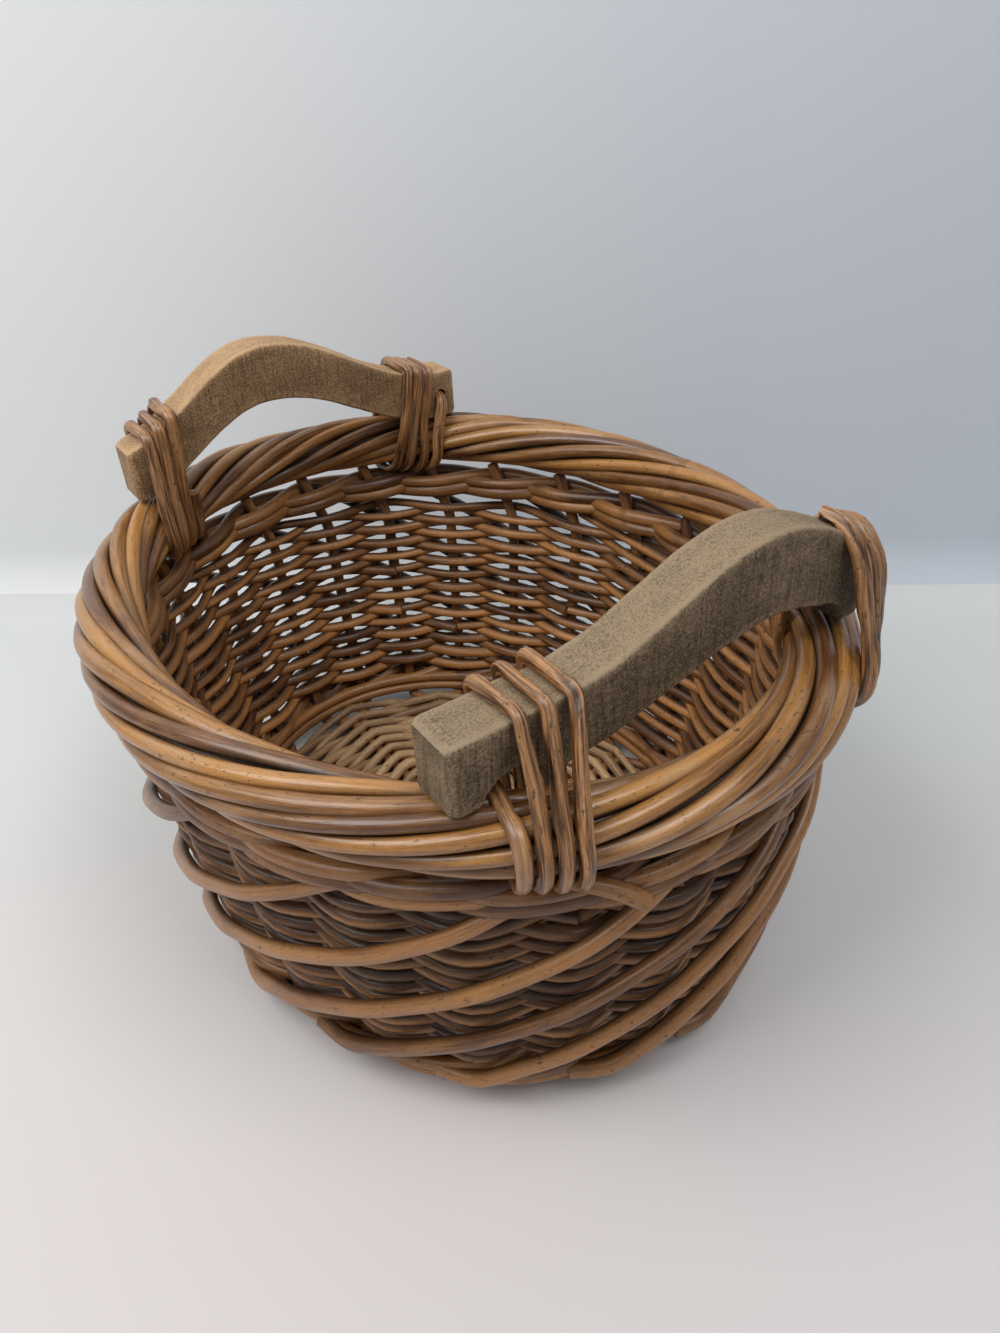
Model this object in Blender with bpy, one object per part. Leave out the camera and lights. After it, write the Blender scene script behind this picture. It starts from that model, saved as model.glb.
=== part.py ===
"""Wicker gathering basket: an oval willow basket with two carved wooden bow handles.

The long axis of the mouth is Y, the handles run along X, and the basket stands on z = 0 with the
centre of its foot at the origin. Sizes are in metres and angles in radians.
"""

import math

import bmesh
import bpy
from mathutils import Vector

# Clearance between pieces that touch
touch_gap = 0.0003

# Wall: half sizes of the ovals at the foot and at the middle of the border
foot_half_width = 0.130
foot_half_length = 0.160
rim_half_width = 0.1574
rim_half_length = 0.1907
rim_height = 0.1900
wall_inset = 0.003
wall_bulge = 0.16

# Stakes: long rods that cross under the basket, run out as spokes and turn up as the uprights
stake_rods_each_way = 6
stake_radius = 0.0035
stake_bends = 5
stake_elbow = 0.0032

# Base: a rod wound outward over and under each pair of spokes
base_weaver_radius = 0.0025
base_weaver_pitch = 0.0100
base_first_half_width = 0.052
base_dome = 0.006
base_clearance = 0.001
slath_clearance = 0.003
foot_flat = 0.0005

# Wall rods woven in and out of the stakes: every third row is a solid here
wall_rods = 3
wall_rod_radius = 0.0025
row_pitch = 0.0052
rows_per_solid = 3

# Pairs of thicker rods that lock the stakes at the foot and under the border
wale_rod_radius = 0.0030
wale_rods = 2

# Rolled border: rods wound round a core
border_rods = 10
border_rod_radius = 0.00342
border_turns = 3
border_stations = 40

# Long rods that climb round the outside of the wall
climbing_rods = 16
climbing_rod_radius = 0.0033
climbing_rod_bays = 5

# Handles: plain ends and a bow between them, cut from a board
handle_length = 0.204
handle_thickness = 0.0233
handle_edge = 0.0015
handle_stations = 34
notch_radius = 0.0140
notch_sink = 0.0040
front_left_notch_from_end = 0.0250
front_arch_from_end = 0.0270
end_arch_width = 0.0150
back_left_notch_from_end = 0.0330
back_right_notch_from_end = 0.0330
front_handle_distance = 0.1515
front_end_depth = 0.030
front_top_rise = 0.026
front_underside_rise = 0.019
front_crest = 0.044
front_left_foot = -0.055
front_right_foot = 0.125
back_handle_distance = 0.1566
back_end_depth = 0.029
back_top_rise = 0.039
back_underside_rise = 0.037
back_crest = -0.019
back_left_foot = -0.108
back_right_foot = 0.090
tie_hole_radius = 0.0034
tie_hole_from_end = 0.010

# Lashings that tie the handles to the border
lashing_rod_radius = 0.0030
lashing_slack = 0.0011
lashing_tail = 0.008
notch_tail_margin = 0.0035
front_left_turns = 4
front_left_from_end = 0.0405
front_left_pitch = 0.0060
front_left_top_from_end = 0.0490
front_left_top_pitch = 0.0112
front_left_lean = -0.5
front_right_turns = 3
front_right_from_end = 0.0070
front_right_pitch = 0.0066
front_right_top_from_end = 0.0050
front_right_top_pitch = 0.0068
front_right_lean = 0.0
back_left_turns = 4
back_left_from_end = 0.0283
back_right_turns = 4
back_right_from_end = 0.0196

# Colours, roughness
willow_border = (0.36, 0.17, 0.06)
willow_wall = (0.24, 0.10, 0.04)
willow_stake = (0.17, 0.08, 0.035)
willow_base = (0.40, 0.25, 0.12)
willow_lashing = (0.42, 0.20, 0.08)
handle_wood = (0.22, 0.16, 0.10)
willow_roughness = 0.45
wood_roughness = 0.80


def clear_scene():
    for old in list(bpy.data.objects):
        bpy.data.objects.remove(old, do_unlink=True)


def new_collection(name):
    made = bpy.data.collections.new(name)
    bpy.context.scene.collection.children.link(made)
    return made


def material_for(name, colour, roughness):
    material = bpy.data.materials.new(name)
    material.use_nodes = True
    shader = material.node_tree.nodes["Principled BSDF"]
    shader.inputs["Base Color"].default_value = (*colour, 1.0)
    shader.inputs["Roughness"].default_value = roughness
    shader.inputs["Metallic"].default_value = 0.0
    return material


def rod(name, path, radius, closed, colour, collection, level=True):
    """A round rod along a path of points, which is a ring where it is closed."""
    curve = bpy.data.curves.new(name, "CURVE")
    curve.dimensions = "3D"
    curve.bevel_depth = radius
    curve.bevel_resolution = 1
    curve.use_fill_caps = not closed
    curve.twist_mode = "Z_UP" if level else "MINIMUM"
    spline = curve.splines.new("POLY")
    spline.points.add(len(path) - 1)
    for point, place in zip(spline.points, path):
        point.co = (*place, 1.0)
    spline.use_cyclic_u = closed
    spline.use_smooth = True
    curve.materials.append(material_for(name, colour, willow_roughness))
    made = bpy.data.objects.new(name, curve)
    collection.objects.link(made)
    return made


def as_mesh(curve_object, collection):
    """The same piece as a welded mesh, so that it can be cut."""
    name = curve_object.name
    bpy.context.view_layer.update()
    placement = curve_object.matrix_world.copy()
    evaluated = curve_object.evaluated_get(bpy.context.evaluated_depsgraph_get())
    mesh = bpy.data.meshes.new_from_object(evaluated)
    bpy.data.objects.remove(curve_object, do_unlink=True)
    welded = bmesh.new()
    welded.from_mesh(mesh)
    bmesh.ops.remove_doubles(welded, verts=welded.verts, dist=0.00001)
    bmesh.ops.recalc_face_normals(welded, faces=welded.faces)
    welded.to_mesh(mesh)
    welded.free()
    mesh.name = name
    solid = bpy.data.objects.new(name, mesh)
    solid.matrix_world = placement
    collection.objects.link(solid)
    return solid


def merge_flat_faces(solid):
    """Joins the triangles of each flat face, and the straight runs of its edge, into one face."""
    joined = bmesh.new()
    joined.from_mesh(solid.data)
    bmesh.ops.dissolve_limit(joined, angle_limit=math.radians(0.2), verts=joined.verts, edges=joined.edges)
    joined.to_mesh(solid.data)
    joined.free()


# Sizes that follow from the ones above
def stake_count():
    return 4 * stake_rods_each_way


def stake_angle(index):
    return (index + 0.5) * 2 * math.pi / stake_count()


def border_circle():
    """Radius of the circle that the middles of the border rods wind on."""
    half_step = math.pi / border_stations * border_turns
    side_by_side = (2 * border_rod_radius + touch_gap) / (2 * math.sin(math.pi / border_rods))
    steepest = math.atan(border_turns * side_by_side / (rim_half_width - side_by_side))
    return side_by_side / (math.cos(half_step) * math.cos(steepest))


def border_radius():
    return border_circle() + border_rod_radius


def border_core_radius():
    half_step = math.pi / border_stations * border_turns
    return border_circle() * math.cos(half_step) - border_rod_radius - touch_gap


def stake_top():
    return rim_height - border_radius() - touch_gap


def lashing_reach():
    """From the middle of the border to the middle of a lashing rod that goes round it."""
    return border_radius() + lashing_slack + lashing_rod_radius


def lashing_underside():
    return rim_height - lashing_reach() - lashing_rod_radius


def lashing_pitch():
    return 2 * (lashing_rod_radius + touch_gap)


def wale_step():
    return 2 * wale_rod_radius + touch_gap


def foot_wale_height():
    return spoke_edge_height() + stake_radius + touch_gap + wale_rod_radius


def top_wale_height():
    highest = lashing_underside() - touch_gap - max(wale_rod_radius, climbing_rod_radius)
    return highest - (wale_rods - 1) * wale_step()


def first_row_height():
    return foot_wale_height() + (wale_rods - 1) * wale_step() + wale_rod_radius + touch_gap + wall_rod_radius


def last_row_height():
    return top_wale_height() - wale_rod_radius - touch_gap - wall_rod_radius


def handle_seat():
    return rim_height + border_radius() + touch_gap


# The oval wall
def wall_oval(height):
    """Half width and half length of the wall's middle at a height, straight between the stakes' bends."""
    place = min(max(height / stake_top(), 0.0), 1.0) * stake_bends
    below = min(int(place), stake_bends - 1)
    low, high = (step / stake_bends + wall_bulge * 4 * step / stake_bends * (1 - step / stake_bends)
                 for step in (below, below + 1))
    widening = low + (high - low) * (place - below)
    half_width = foot_half_width + (rim_half_width - wall_inset - foot_half_width) * widening
    half_length = foot_half_length + (rim_half_length - wall_inset - foot_half_length) * widening
    return half_width, half_length


def wall_point(angle, height, outward):
    half_width, half_length = wall_oval(height)
    x = (half_width + outward) * math.cos(angle)
    y = (half_length + outward) * math.sin(angle)
    return Vector((x, y, height))


def weave_offset(rod_radius, height):
    """How far a rod's middle passes from a stake's middle, so that the bent rod clears the stake."""
    half_width, _ = wall_oval(height)
    straight = stake_radius + rod_radius + touch_gap
    spacing = half_width * 2 * math.sin(math.pi / stake_count())
    bend = math.atan(2 * straight / spacing) + math.pi / stake_count()
    return straight / math.cos(bend)


def side_of(index, count):
    """Which side of a stake a wound rod passes: it changes at each stake, and once more each turn."""
    return 1 if (index + index // count) % 2 == 0 else -1


# The base and the stakes
def base_swing(half_width):
    """How far the base rod swings over and under spokes that are this far from the middle."""
    level = stake_radius + base_weaver_radius + touch_gap
    half_room = (half_width * 2 * math.pi / (2 * stake_rods_each_way) - stake_pitch()) / 2
    return level * half_room / math.sqrt(half_room**2 - level**2)


def stake_pitch():
    return 2 * stake_radius + touch_gap


def base_last_half_width():
    inside_wale = weave_offset(wale_rod_radius, 0) + wale_rod_radius
    return foot_half_width - inside_wale - touch_gap - base_weaver_radius - base_clearance


def spoke_edge_height():
    flat_side = base_weaver_radius * math.cos(math.pi / 6)
    return base_swing(base_last_half_width()) + flat_side - foot_flat


def slath_half():
    return stake_rods_each_way * stake_pitch() / 2 + slath_clearance


def spoke_level_from():
    """Half width from which the spokes lie level, so that the last turns of the base rod rest evenly."""
    return base_last_half_width() - 1.5 * base_weaver_pitch


def spoke_point(half_width, angle, aside):
    """A point on a spoke, which stands aside, to the left, of the middle line of its pair."""
    inward = min(max((spoke_level_from() - half_width) / (spoke_level_from() - slath_half()), 0.0), 1.0)
    along = Vector((math.cos(angle), foot_half_length / foot_half_width * math.sin(angle), 0))
    middle = along * half_width
    left = Vector((-along.y, along.x, 0)).normalized()
    return middle + left * aside + Vector((0, 0, spoke_edge_height() + base_dome * inward))


def stake_half(along_y, end, index):
    """From the edge of the crossing under the basket, out along a spoke and up the wall."""
    out, across = Vector((end, 0, 0)), Vector((0, 1, 0))
    if along_y:
        out, across = Vector((0, end, 0)), Vector((1, 0, 0))
    turn = 1 if out.cross(across).z > 0 else -1
    step = index - (stake_rods_each_way - 1) / 2
    pair = index // 2 - (stake_rods_each_way // 2 - 1) / 2
    straight_on = math.atan2(out.y, out.x)
    pair_angle = straight_on + turn * pair * 4 * math.pi / stake_count()
    rise_angle = straight_on + turn * step * 2 * math.pi / stake_count()
    aside = (index % 2 - 0.5) * stake_pitch()
    bundle = out * slath_half() + across * 2 * pair * stake_pitch()
    first = spoke_point(base_first_half_width, pair_angle, 0)
    run = Vector((first.x - bundle.x, first.y - bundle.y, 0)).normalized()
    half_turn = run.dot(across) / (1 + run.dot(out))
    knee = bundle + across * aside - out * aside * half_turn
    layer = stake_pitch() / 2 if along_y else -stake_pitch() / 2
    knee.z = spoke_edge_height() + base_dome + layer
    path = [knee]
    for half_width in (base_first_half_width, spoke_level_from(), base_last_half_width()):
        path.append(spoke_point(half_width, pair_angle, turn * aside))
    elbow_height = spoke_edge_height() + stake_elbow
    path.append(wall_point(rise_angle, spoke_edge_height(), -stake_elbow))
    path.append(wall_point(rise_angle, elbow_height, 0))
    top = stake_top_at(rise_angle)
    for bend in range(1, stake_bends):
        height = stake_top() * bend / stake_bends
        if elbow_height < height < top:
            path.append(wall_point(rise_angle, height, 0))
    path.append(wall_point(rise_angle, top, 0))
    return path


def stake_top_at(angle):
    """A stake reaches the border, or stops short of a lashing that lies over it."""
    stake = wall_point(angle, stake_top(), 0)
    for lashing in lashings.values():
        half_span = (lashing["turns"] - 1) / 2 * lashing["pitch"]
        middle = lashing["first"] - half_span
        beside = lashing_rod_radius + stake_radius + touch_gap + lashing_reach() * math.sin(math.pi / 8)
        if abs(stake.x - middle) < half_span + beside and stake.y * lashing["side"] > 0:
            return lashing_underside() - touch_gap
    return stake_top()


def make_stakes(parts):
    for set_name, along_y in (("long_stake", True), ("cross_stake", False)):
        for index in range(stake_rods_each_way):
            one_end = stake_half(along_y, 1, index)
            other_end = stake_half(along_y, -1, index)
            path = list(reversed(one_end)) + other_end
            rod(f"{set_name}_{index + 1}", path, stake_radius, False, willow_stake, parts, level=False)


def make_base_weaver(parts):
    pairs = 2 * stake_rods_each_way
    turns = (base_last_half_width() - base_first_half_width) / base_weaver_pitch
    stations = int(turns * pairs)
    path = []
    for station in range(stations + 1):
        half_width = base_last_half_width() - (stations - station) * base_weaver_pitch / pairs
        angle = station * 2 * math.pi / pairs
        rise = side_of(station, pairs) * base_swing(half_width)
        for half in (-0.5, 0.5):
            point = spoke_point(half_width, angle, half * stake_pitch())
            path.append(point + Vector((0, 0, rise)))
    weaver = rod("base_weaver", path, base_weaver_radius, False, willow_base, parts)
    flatten_foot(as_mesh(weaver, parts))


def flatten_foot(solid):
    """The worn undersides of the base, which are the flat faces that the basket stands on."""
    cut = bmesh.new()
    cut.from_mesh(solid.data)
    everything = list(cut.verts) + list(cut.edges) + list(cut.faces)
    bmesh.ops.bisect_plane(cut, geom=everything, dist=0.000001, plane_co=(0, 0, 0), plane_no=(0, 0, -1),
                           clear_outer=True)
    open_edges = [edge for edge in cut.edges if edge.is_boundary]
    bmesh.ops.holes_fill(cut, edges=open_edges, sides=0)
    bmesh.ops.recalc_face_normals(cut, faces=cut.faces)
    cut.to_mesh(solid.data)
    cut.free()
    solid.data.shade_smooth()
    solid.data.set_sharp_from_angle(angle=math.radians(50))


# The woven wall
def make_wall_rods(parts):
    climb = row_pitch * rows_per_solid / stake_count()
    stations = int((last_row_height() - first_row_height()) / climb)
    share = stations // wall_rods
    for number in range(wall_rods):
        path = []
        for index in range(number * share, (number + 1) * share):
            height = first_row_height() + index * climb
            outward = side_of(index, stake_count()) * weave_offset(wall_rod_radius, height)
            path.append(wall_point(stake_angle(index), height, outward))
        rod(f"wall_rod_{number + 1}", path, wall_rod_radius, False, willow_wall, parts)


def make_wale(prefix, lowest, parts):
    for number in range(wale_rods):
        height = lowest + number * wale_step()
        offset = weave_offset(wale_rod_radius, height)
        ring = []
        for index in range(stake_count()):
            side = 1 if (index + number) % 2 == 0 else -1
            ring.append(wall_point(stake_angle(index), height, side * offset))
        rod(f"{prefix}_{number + 1}", ring, wale_rod_radius, True, willow_wall, parts)


def outermost_wale(place, at_crossing):
    """The wale rod that is outermost at a place counted in stakes, and its share of the full swing there.

    Halfway between two stakes the wale rods cross, and at_crossing is the one to meet.
    """
    before = math.floor(place)
    swing = 1 - 2 * (place - before)
    if abs(swing) < 0.01:
        return at_crossing, 0.0
    outer_at_stake = before if swing > 0 else before + 1
    return outer_at_stake % wale_rods, abs(swing)


def make_climbing_rods(parts):
    """Rods laid outside the wall. Each starts and ends level with the wale rod that is outermost there.

    Halfway between stakes the wale rods run straight, inside the wall's oval by the height of its arc.
    """
    beside = wale_rod_radius + touch_gap + climbing_rod_radius
    for number in range(climbing_rods):
        start = number * stake_count() / climbing_rods
        end = start + climbing_rod_bays
        foot_wale, foot_swing = outermost_wale(start, wale_rods - 1)
        top_wale, top_swing = outermost_wale(end, 0)
        foot = foot_wale_height() + foot_wale * wale_step()
        top = top_wale_height() + top_wale * wale_step()
        between = range(math.floor(start) + 1, math.ceil(end))
        path = []
        for place, swing in [(start, foot_swing)] + [(stake, 1.0) for stake in between] + [(end, top_swing)]:
            height = foot + (top - foot) * (place - start) / climbing_rod_bays
            outward = weave_offset(wale_rod_radius, height) * swing + beside
            if swing < 1:
                outward -= wall_oval(height)[0] * (1 - math.cos(math.pi / stake_count()))
            path.append(wall_point(stake_angle(place), height, outward))
        name = f"climbing_rod_{number + 1:02d}"
        rod(name, path, climbing_rod_radius, False, willow_border, parts, level=False)


# The rolled border
def border_point(angle, turned, radius):
    x = (rim_half_width + radius * math.cos(turned)) * math.cos(angle)
    y = (rim_half_length + radius * math.cos(turned)) * math.sin(angle)
    return Vector((x, y, rim_height + radius * math.sin(turned)))


def make_border(parts):
    angles = [station * 2 * math.pi / border_stations for station in range(border_stations)]
    core = [border_point(angle, 0, 0) for angle in angles]
    rod("border_core", core, border_core_radius(), True, willow_stake, parts)
    for index in range(border_rods):
        path = []
        for angle in angles:
            turned = index * 2 * math.pi / border_rods + border_turns * angle
            path.append(border_point(angle, turned, border_circle()))
        rod(f"border_rod_{index + 1}", path, border_rod_radius, True, willow_border, parts)


# The handles
front_shape = {
    "distance": front_handle_distance,
    "depth": front_end_depth,
    "top_rise": front_top_rise,
    "underside_rise": front_underside_rise,
    "bow": (front_crest, front_left_foot, front_right_foot),
    "notches": (front_left_notch_from_end - handle_length / 2,),
    "end_arch": handle_length / 2 - front_arch_from_end,
}
back_shape = {
    "distance": back_handle_distance,
    "depth": back_end_depth,
    "top_rise": back_top_rise,
    "underside_rise": back_underside_rise,
    "bow": (back_crest, back_left_foot, back_right_foot),
    "notches": (back_left_notch_from_end - handle_length / 2, handle_length / 2 - back_right_notch_from_end),
    "end_arch": handle_length / 2,
}


def bow(x, crest, left_foot, right_foot, rise):
    """Height of the bow over its plain ends: a smooth rise to the crest and a smooth fall after it."""
    foot = left_foot if x < crest else right_foot
    share = min(abs(x - crest) / abs(foot - crest), 1.0)
    return rise * 0.5 * (1 + math.cos(math.pi * share))


def notch_height(x, notches):
    """The round notch in the underside of each end."""
    aside = min(abs(x - centre) for centre in notches)
    if aside >= notch_radius:
        return 0.0
    return max(math.sqrt(notch_radius**2 - aside**2) - notch_sink, 0.0)


def handle_top(shape, x):
    return handle_seat() + shape["depth"] + bow(x, *shape["bow"], shape["top_rise"])


def underside_bow(shape, x):
    """The bow of the underside, which a short arch brings down to the border where a plain end begins."""
    rise = shape["underside_rise"]
    if x <= shape["end_arch"]:
        return bow(x, *shape["bow"], rise)
    share = min((x - shape["end_arch"]) / end_arch_width, 1.0)
    return bow(shape["end_arch"], *shape["bow"], rise) * math.sqrt(1 - share**2)


def handle_underside(shape, x):
    return handle_seat() + max(underside_bow(shape, x), notch_height(x, shape["notches"]))


def make_handle(name, side, shape, parts):
    """The outline is drawn in the board's plane and given its thickness, then stood on the border."""
    places = [handle_length * (step / handle_stations - 0.5) for step in range(handle_stations + 1)]
    underside = [(x, handle_underside(shape, x)) for x in places]
    top = [(x, handle_top(shape, x)) for x in reversed(places)]
    curve = bpy.data.curves.new(name, "CURVE")
    curve.dimensions = "2D"
    curve.fill_mode = "BOTH"
    curve.extrude = handle_thickness / 2 - handle_edge
    curve.bevel_depth = handle_edge
    curve.bevel_resolution = 0
    curve.offset = -handle_edge
    outline = curve.splines.new("POLY")
    outline.points.add(len(underside) + len(top) - 1)
    for point, (x, z) in zip(outline.points, underside + top):
        point.co = (x, z, 0.0, 1.0)
    outline.use_cyclic_u = True
    curve.materials.append(material_for(name, handle_wood, wood_roughness))
    handle = bpy.data.objects.new(name, curve)
    handle.location = (0, side * shape["distance"], 0)
    handle.rotation_euler = (math.pi / 2, 0, 0)
    parts.objects.link(handle)
    board = as_mesh(handle, parts)
    merge_flat_faces(board)
    return board


def tie_hole_place():
    return handle_length / 2 - tie_hole_from_end, handle_seat() + back_end_depth / 2


def drill_tie_hole(handle, cutters):
    """The hole near one end of the back handle that the lashing's tail goes through."""
    x, z = tie_hole_place()
    bpy.ops.mesh.primitive_cylinder_add(vertices=12, radius=tie_hole_radius / math.cos(math.pi / 12),
                                        depth=2 * handle_thickness)
    drill = bpy.context.object
    drill.name = "tie_hole_cutter"
    drill.rotation_euler = (math.pi / 2, 0, 0)
    drill.location = (x, back_handle_distance, z)
    for home in list(drill.users_collection):
        home.objects.unlink(drill)
    cutters.objects.link(drill)
    drill.hide_render = True
    drill.display_type = "WIRE"
    hole = handle.modifiers.new("tie_hole", "BOOLEAN")
    hole.operation = "DIFFERENCE"
    hole.solver = "EXACT"
    hole.object = drill


# The lashings
lashings = {
    "front_left_lashing": {
        "side": -1,
        "turns": front_left_turns,
        "first": front_left_from_end - handle_length / 2,
        "pitch": front_left_pitch,
        "first_top": front_left_top_from_end - handle_length / 2,
        "top_pitch": front_left_top_pitch,
        "lean": front_left_lean,
    },
    "front_right_lashing": {
        "side": -1,
        "turns": front_right_turns,
        "first": handle_length / 2 - front_right_from_end,
        "pitch": front_right_pitch,
        "first_top": handle_length / 2 - front_right_top_from_end,
        "top_pitch": front_right_top_pitch,
        "lean": front_right_lean,
    },
    "back_left_lashing": {
        "side": 1,
        "turns": back_left_turns,
        "first": back_left_from_end - handle_length / 2,
        "pitch": lashing_pitch(),
        "first_top": back_left_from_end - handle_length / 2,
        "top_pitch": lashing_pitch(),
        "lean": 0.0,
    },
    "back_right_lashing": {
        "side": 1,
        "turns": back_right_turns,
        "first": handle_length / 2 - back_right_from_end,
        "pitch": lashing_pitch(),
        "first_top": handle_length / 2 - back_right_from_end,
        "top_pitch": lashing_pitch(),
        "lean": 0.0,
    },
}


def corner_turn(first, second, third):
    return (second[0] - first[0]) * (third[1] - first[1]) - (second[1] - first[1]) * (third[0] - first[0])


def tight_outline(points):
    """The points of the tight outline round all of them, in order round it."""
    ordered = sorted(points)

    def chain(run):
        kept = []
        for point in run:
            while len(kept) > 1 and corner_turn(kept[-2], kept[-1], point) <= 0:
                kept.pop()
            kept.append(point)
        return kept[:-1]

    return chain(ordered) + chain(list(reversed(ordered)))


def border_middle(x):
    return rim_half_length * math.sqrt(1 - (x / rim_half_width)**2)


def border_ring(x, lean):
    """Points round the border in an upright plane that meets its middle line at x and leans along X.

    Each point is a distance out along Y, a height and a place along X. The lean is how far the plane
    moves along X for each step outward.
    """
    middle = border_middle(x)
    outward = Vector((x / rim_half_width**2, middle / rim_half_length**2)).normalized()
    along = Vector((lean, 1)).normalized()
    stretch = 1 / outward.dot(along)
    reach = lashing_reach() / math.cos(math.pi / 8)
    ring = []
    for step in range(8):
        around = (step + 0.5) * math.pi / 4
        out = stretch * reach * math.cos(around)
        ring.append((middle + out * along.y, rim_height + reach * math.sin(around), x + out * along.x))
    return ring


def handle_corners(top_x, ring_x, lean, shape, outward):
    """A lashing rod's places on one face of a handle: at top_x over its top, and at its foot in the
    leaning plane that meets the border at ring_x."""
    around_rod = lashing_rod_radius + touch_gap
    crown = max(handle_top(shape, top_x - lashing_rod_radius), handle_top(shape, top_x + lashing_rod_radius))
    face = shape["distance"] + outward * (handle_thickness / 2 + around_rod)
    corner = around_rod / 2
    return [
        (face - outward * corner, crown + around_rod, top_x),
        (face, crown + around_rod - corner, top_x),
        (face, handle_seat(), ring_x + lean * (face - border_middle(ring_x))),
    ]


def lashing_turn(lashing, number, shape):
    """One turn: down the inner face of the handle, under the border and up the outer face."""
    x = lashing["first"] - number * lashing["pitch"]
    lean = lashing["lean"]
    before = lashing["first_top"] - (number - 1) * lashing["top_pitch"]
    after = lashing["first_top"] - number * lashing["top_pitch"]
    inner = handle_corners(before, x, lean, shape, -1)
    outer = handle_corners(after, x, lean, shape, 1)
    outline = tight_outline(inner + outer + border_ring(x, lean))
    first = outline.index(inner[0])
    return outline[first:] + outline[:first]


def notch_turn(lashing, number, shape):
    """The turn that comes up from under the border and ends in the notch, under the handle."""
    x = lashing["first"] - number * lashing["pitch"]
    before = lashing["first_top"] - (number - 1) * lashing["top_pitch"]
    inner = handle_corners(before, x, lashing["lean"], shape, -1)
    outline = tight_outline(inner + border_ring(x, lashing["lean"]))
    first = outline.index(inner[0])
    tail = inner[2][0] + 2 * lashing_rod_radius + notch_tail_margin
    return outline[first:] + outline[:first] + [(tail, rim_height + lashing_reach(), x)]


def lashing_path(name, lashing, shape):
    turns = lashing["turns"]
    path = []
    for number in range(turns):
        if name == "front_left_lashing" and number == turns - 1:
            path += notch_turn(lashing, number, shape)
        else:
            path += lashing_turn(lashing, number, shape)
    path = path[2:]
    if name == "front_right_lashing":
        last_top = lashing["first_top"] - (turns - 1) * lashing["top_pitch"]
        path.append(handle_corners(last_top, last_top, 0, shape, -1)[0])
    elif name == "back_right_lashing":
        hole_x, hole_z = tie_hole_place()
        outer = shape["distance"] + handle_thickness / 2 + lashing_tail
        inner = shape["distance"] - handle_thickness / 2 - lashing_rod_radius - touch_gap
        path = [(outer, hole_z, hole_x), (inner, hole_z, hole_x)] + path[:-2]
    elif name == "back_left_lashing":
        path = path[:-2]
    return path


def make_lashing(name, lashing, shape, parts):
    """Turns side by side round the handle and the border."""
    points = [Vector((x, lashing["side"] * out, height)) for out, height, x in lashing_path(name, lashing, shape)]
    rod(name, points, lashing_rod_radius, False, willow_lashing, parts, level=False)


def main():
    clear_scene()
    parts = new_collection("wicker_gathering_basket")
    cutters = new_collection("cutters")
    make_stakes(parts)
    make_base_weaver(parts)
    make_wale("foot_wale_rod", foot_wale_height(), parts)
    make_wall_rods(parts)
    make_wale("top_wale_rod", top_wale_height(), parts)
    make_climbing_rods(parts)
    make_border(parts)
    make_handle("front_handle", -1, front_shape, parts)
    back_handle = make_handle("back_handle", 1, back_shape, parts)
    drill_tie_hole(back_handle, cutters)
    for name, lashing in lashings.items():
        shape = front_shape if lashing["side"] < 0 else back_shape
        make_lashing(name, lashing, shape, parts)


main()
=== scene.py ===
"""Wicker gathering basket: the willow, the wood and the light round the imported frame.

Lengths are in metres. The mouth's long axis is Y, the handles run along X and the foot stands on z = 0.
"""

import math
import bmesh
import bpy
import numpy as np
from mathutils import Matrix, Vector, noise


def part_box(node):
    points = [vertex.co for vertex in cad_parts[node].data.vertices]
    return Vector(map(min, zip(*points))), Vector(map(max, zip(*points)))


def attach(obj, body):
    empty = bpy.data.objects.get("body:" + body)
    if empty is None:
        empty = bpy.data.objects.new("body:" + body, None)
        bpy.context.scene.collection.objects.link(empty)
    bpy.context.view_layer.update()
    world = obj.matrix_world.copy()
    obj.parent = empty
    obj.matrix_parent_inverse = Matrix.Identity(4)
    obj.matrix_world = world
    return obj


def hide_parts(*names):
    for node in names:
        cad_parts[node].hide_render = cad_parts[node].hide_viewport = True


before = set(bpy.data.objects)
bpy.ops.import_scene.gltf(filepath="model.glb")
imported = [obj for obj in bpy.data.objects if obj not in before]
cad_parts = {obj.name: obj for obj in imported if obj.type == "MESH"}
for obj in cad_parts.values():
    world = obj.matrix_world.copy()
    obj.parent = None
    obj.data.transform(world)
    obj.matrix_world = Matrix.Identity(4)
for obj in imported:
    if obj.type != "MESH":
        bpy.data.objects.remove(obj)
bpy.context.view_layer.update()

bl_info = {
    "name": "Wicker gathering basket",
    "version": (1, 0, 0),
    "blender": (4, 5, 0),
    "location": "View3D > Sidebar > Basket",
    "description": "Dresses the packed basket with woven willow, carved handles and a plain studio",
    "category": "Add Mesh",
}

# How many rods of each kind the solids hold
stakes_each_way = 6
spoke_pairs = 12
stake_count = 24
border_rod_count = 10
climbing_rod_count = 16
wall_rod_count = 3


def size_setting(name, description, default):
    return bpy.props.FloatProperty(name=name, description=description, default=default, unit="LENGTH")


def colour_setting(name, description, default):
    return bpy.props.FloatVectorProperty(
        name=name, description=description, default=default, size=3, subtype="COLOR")


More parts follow.
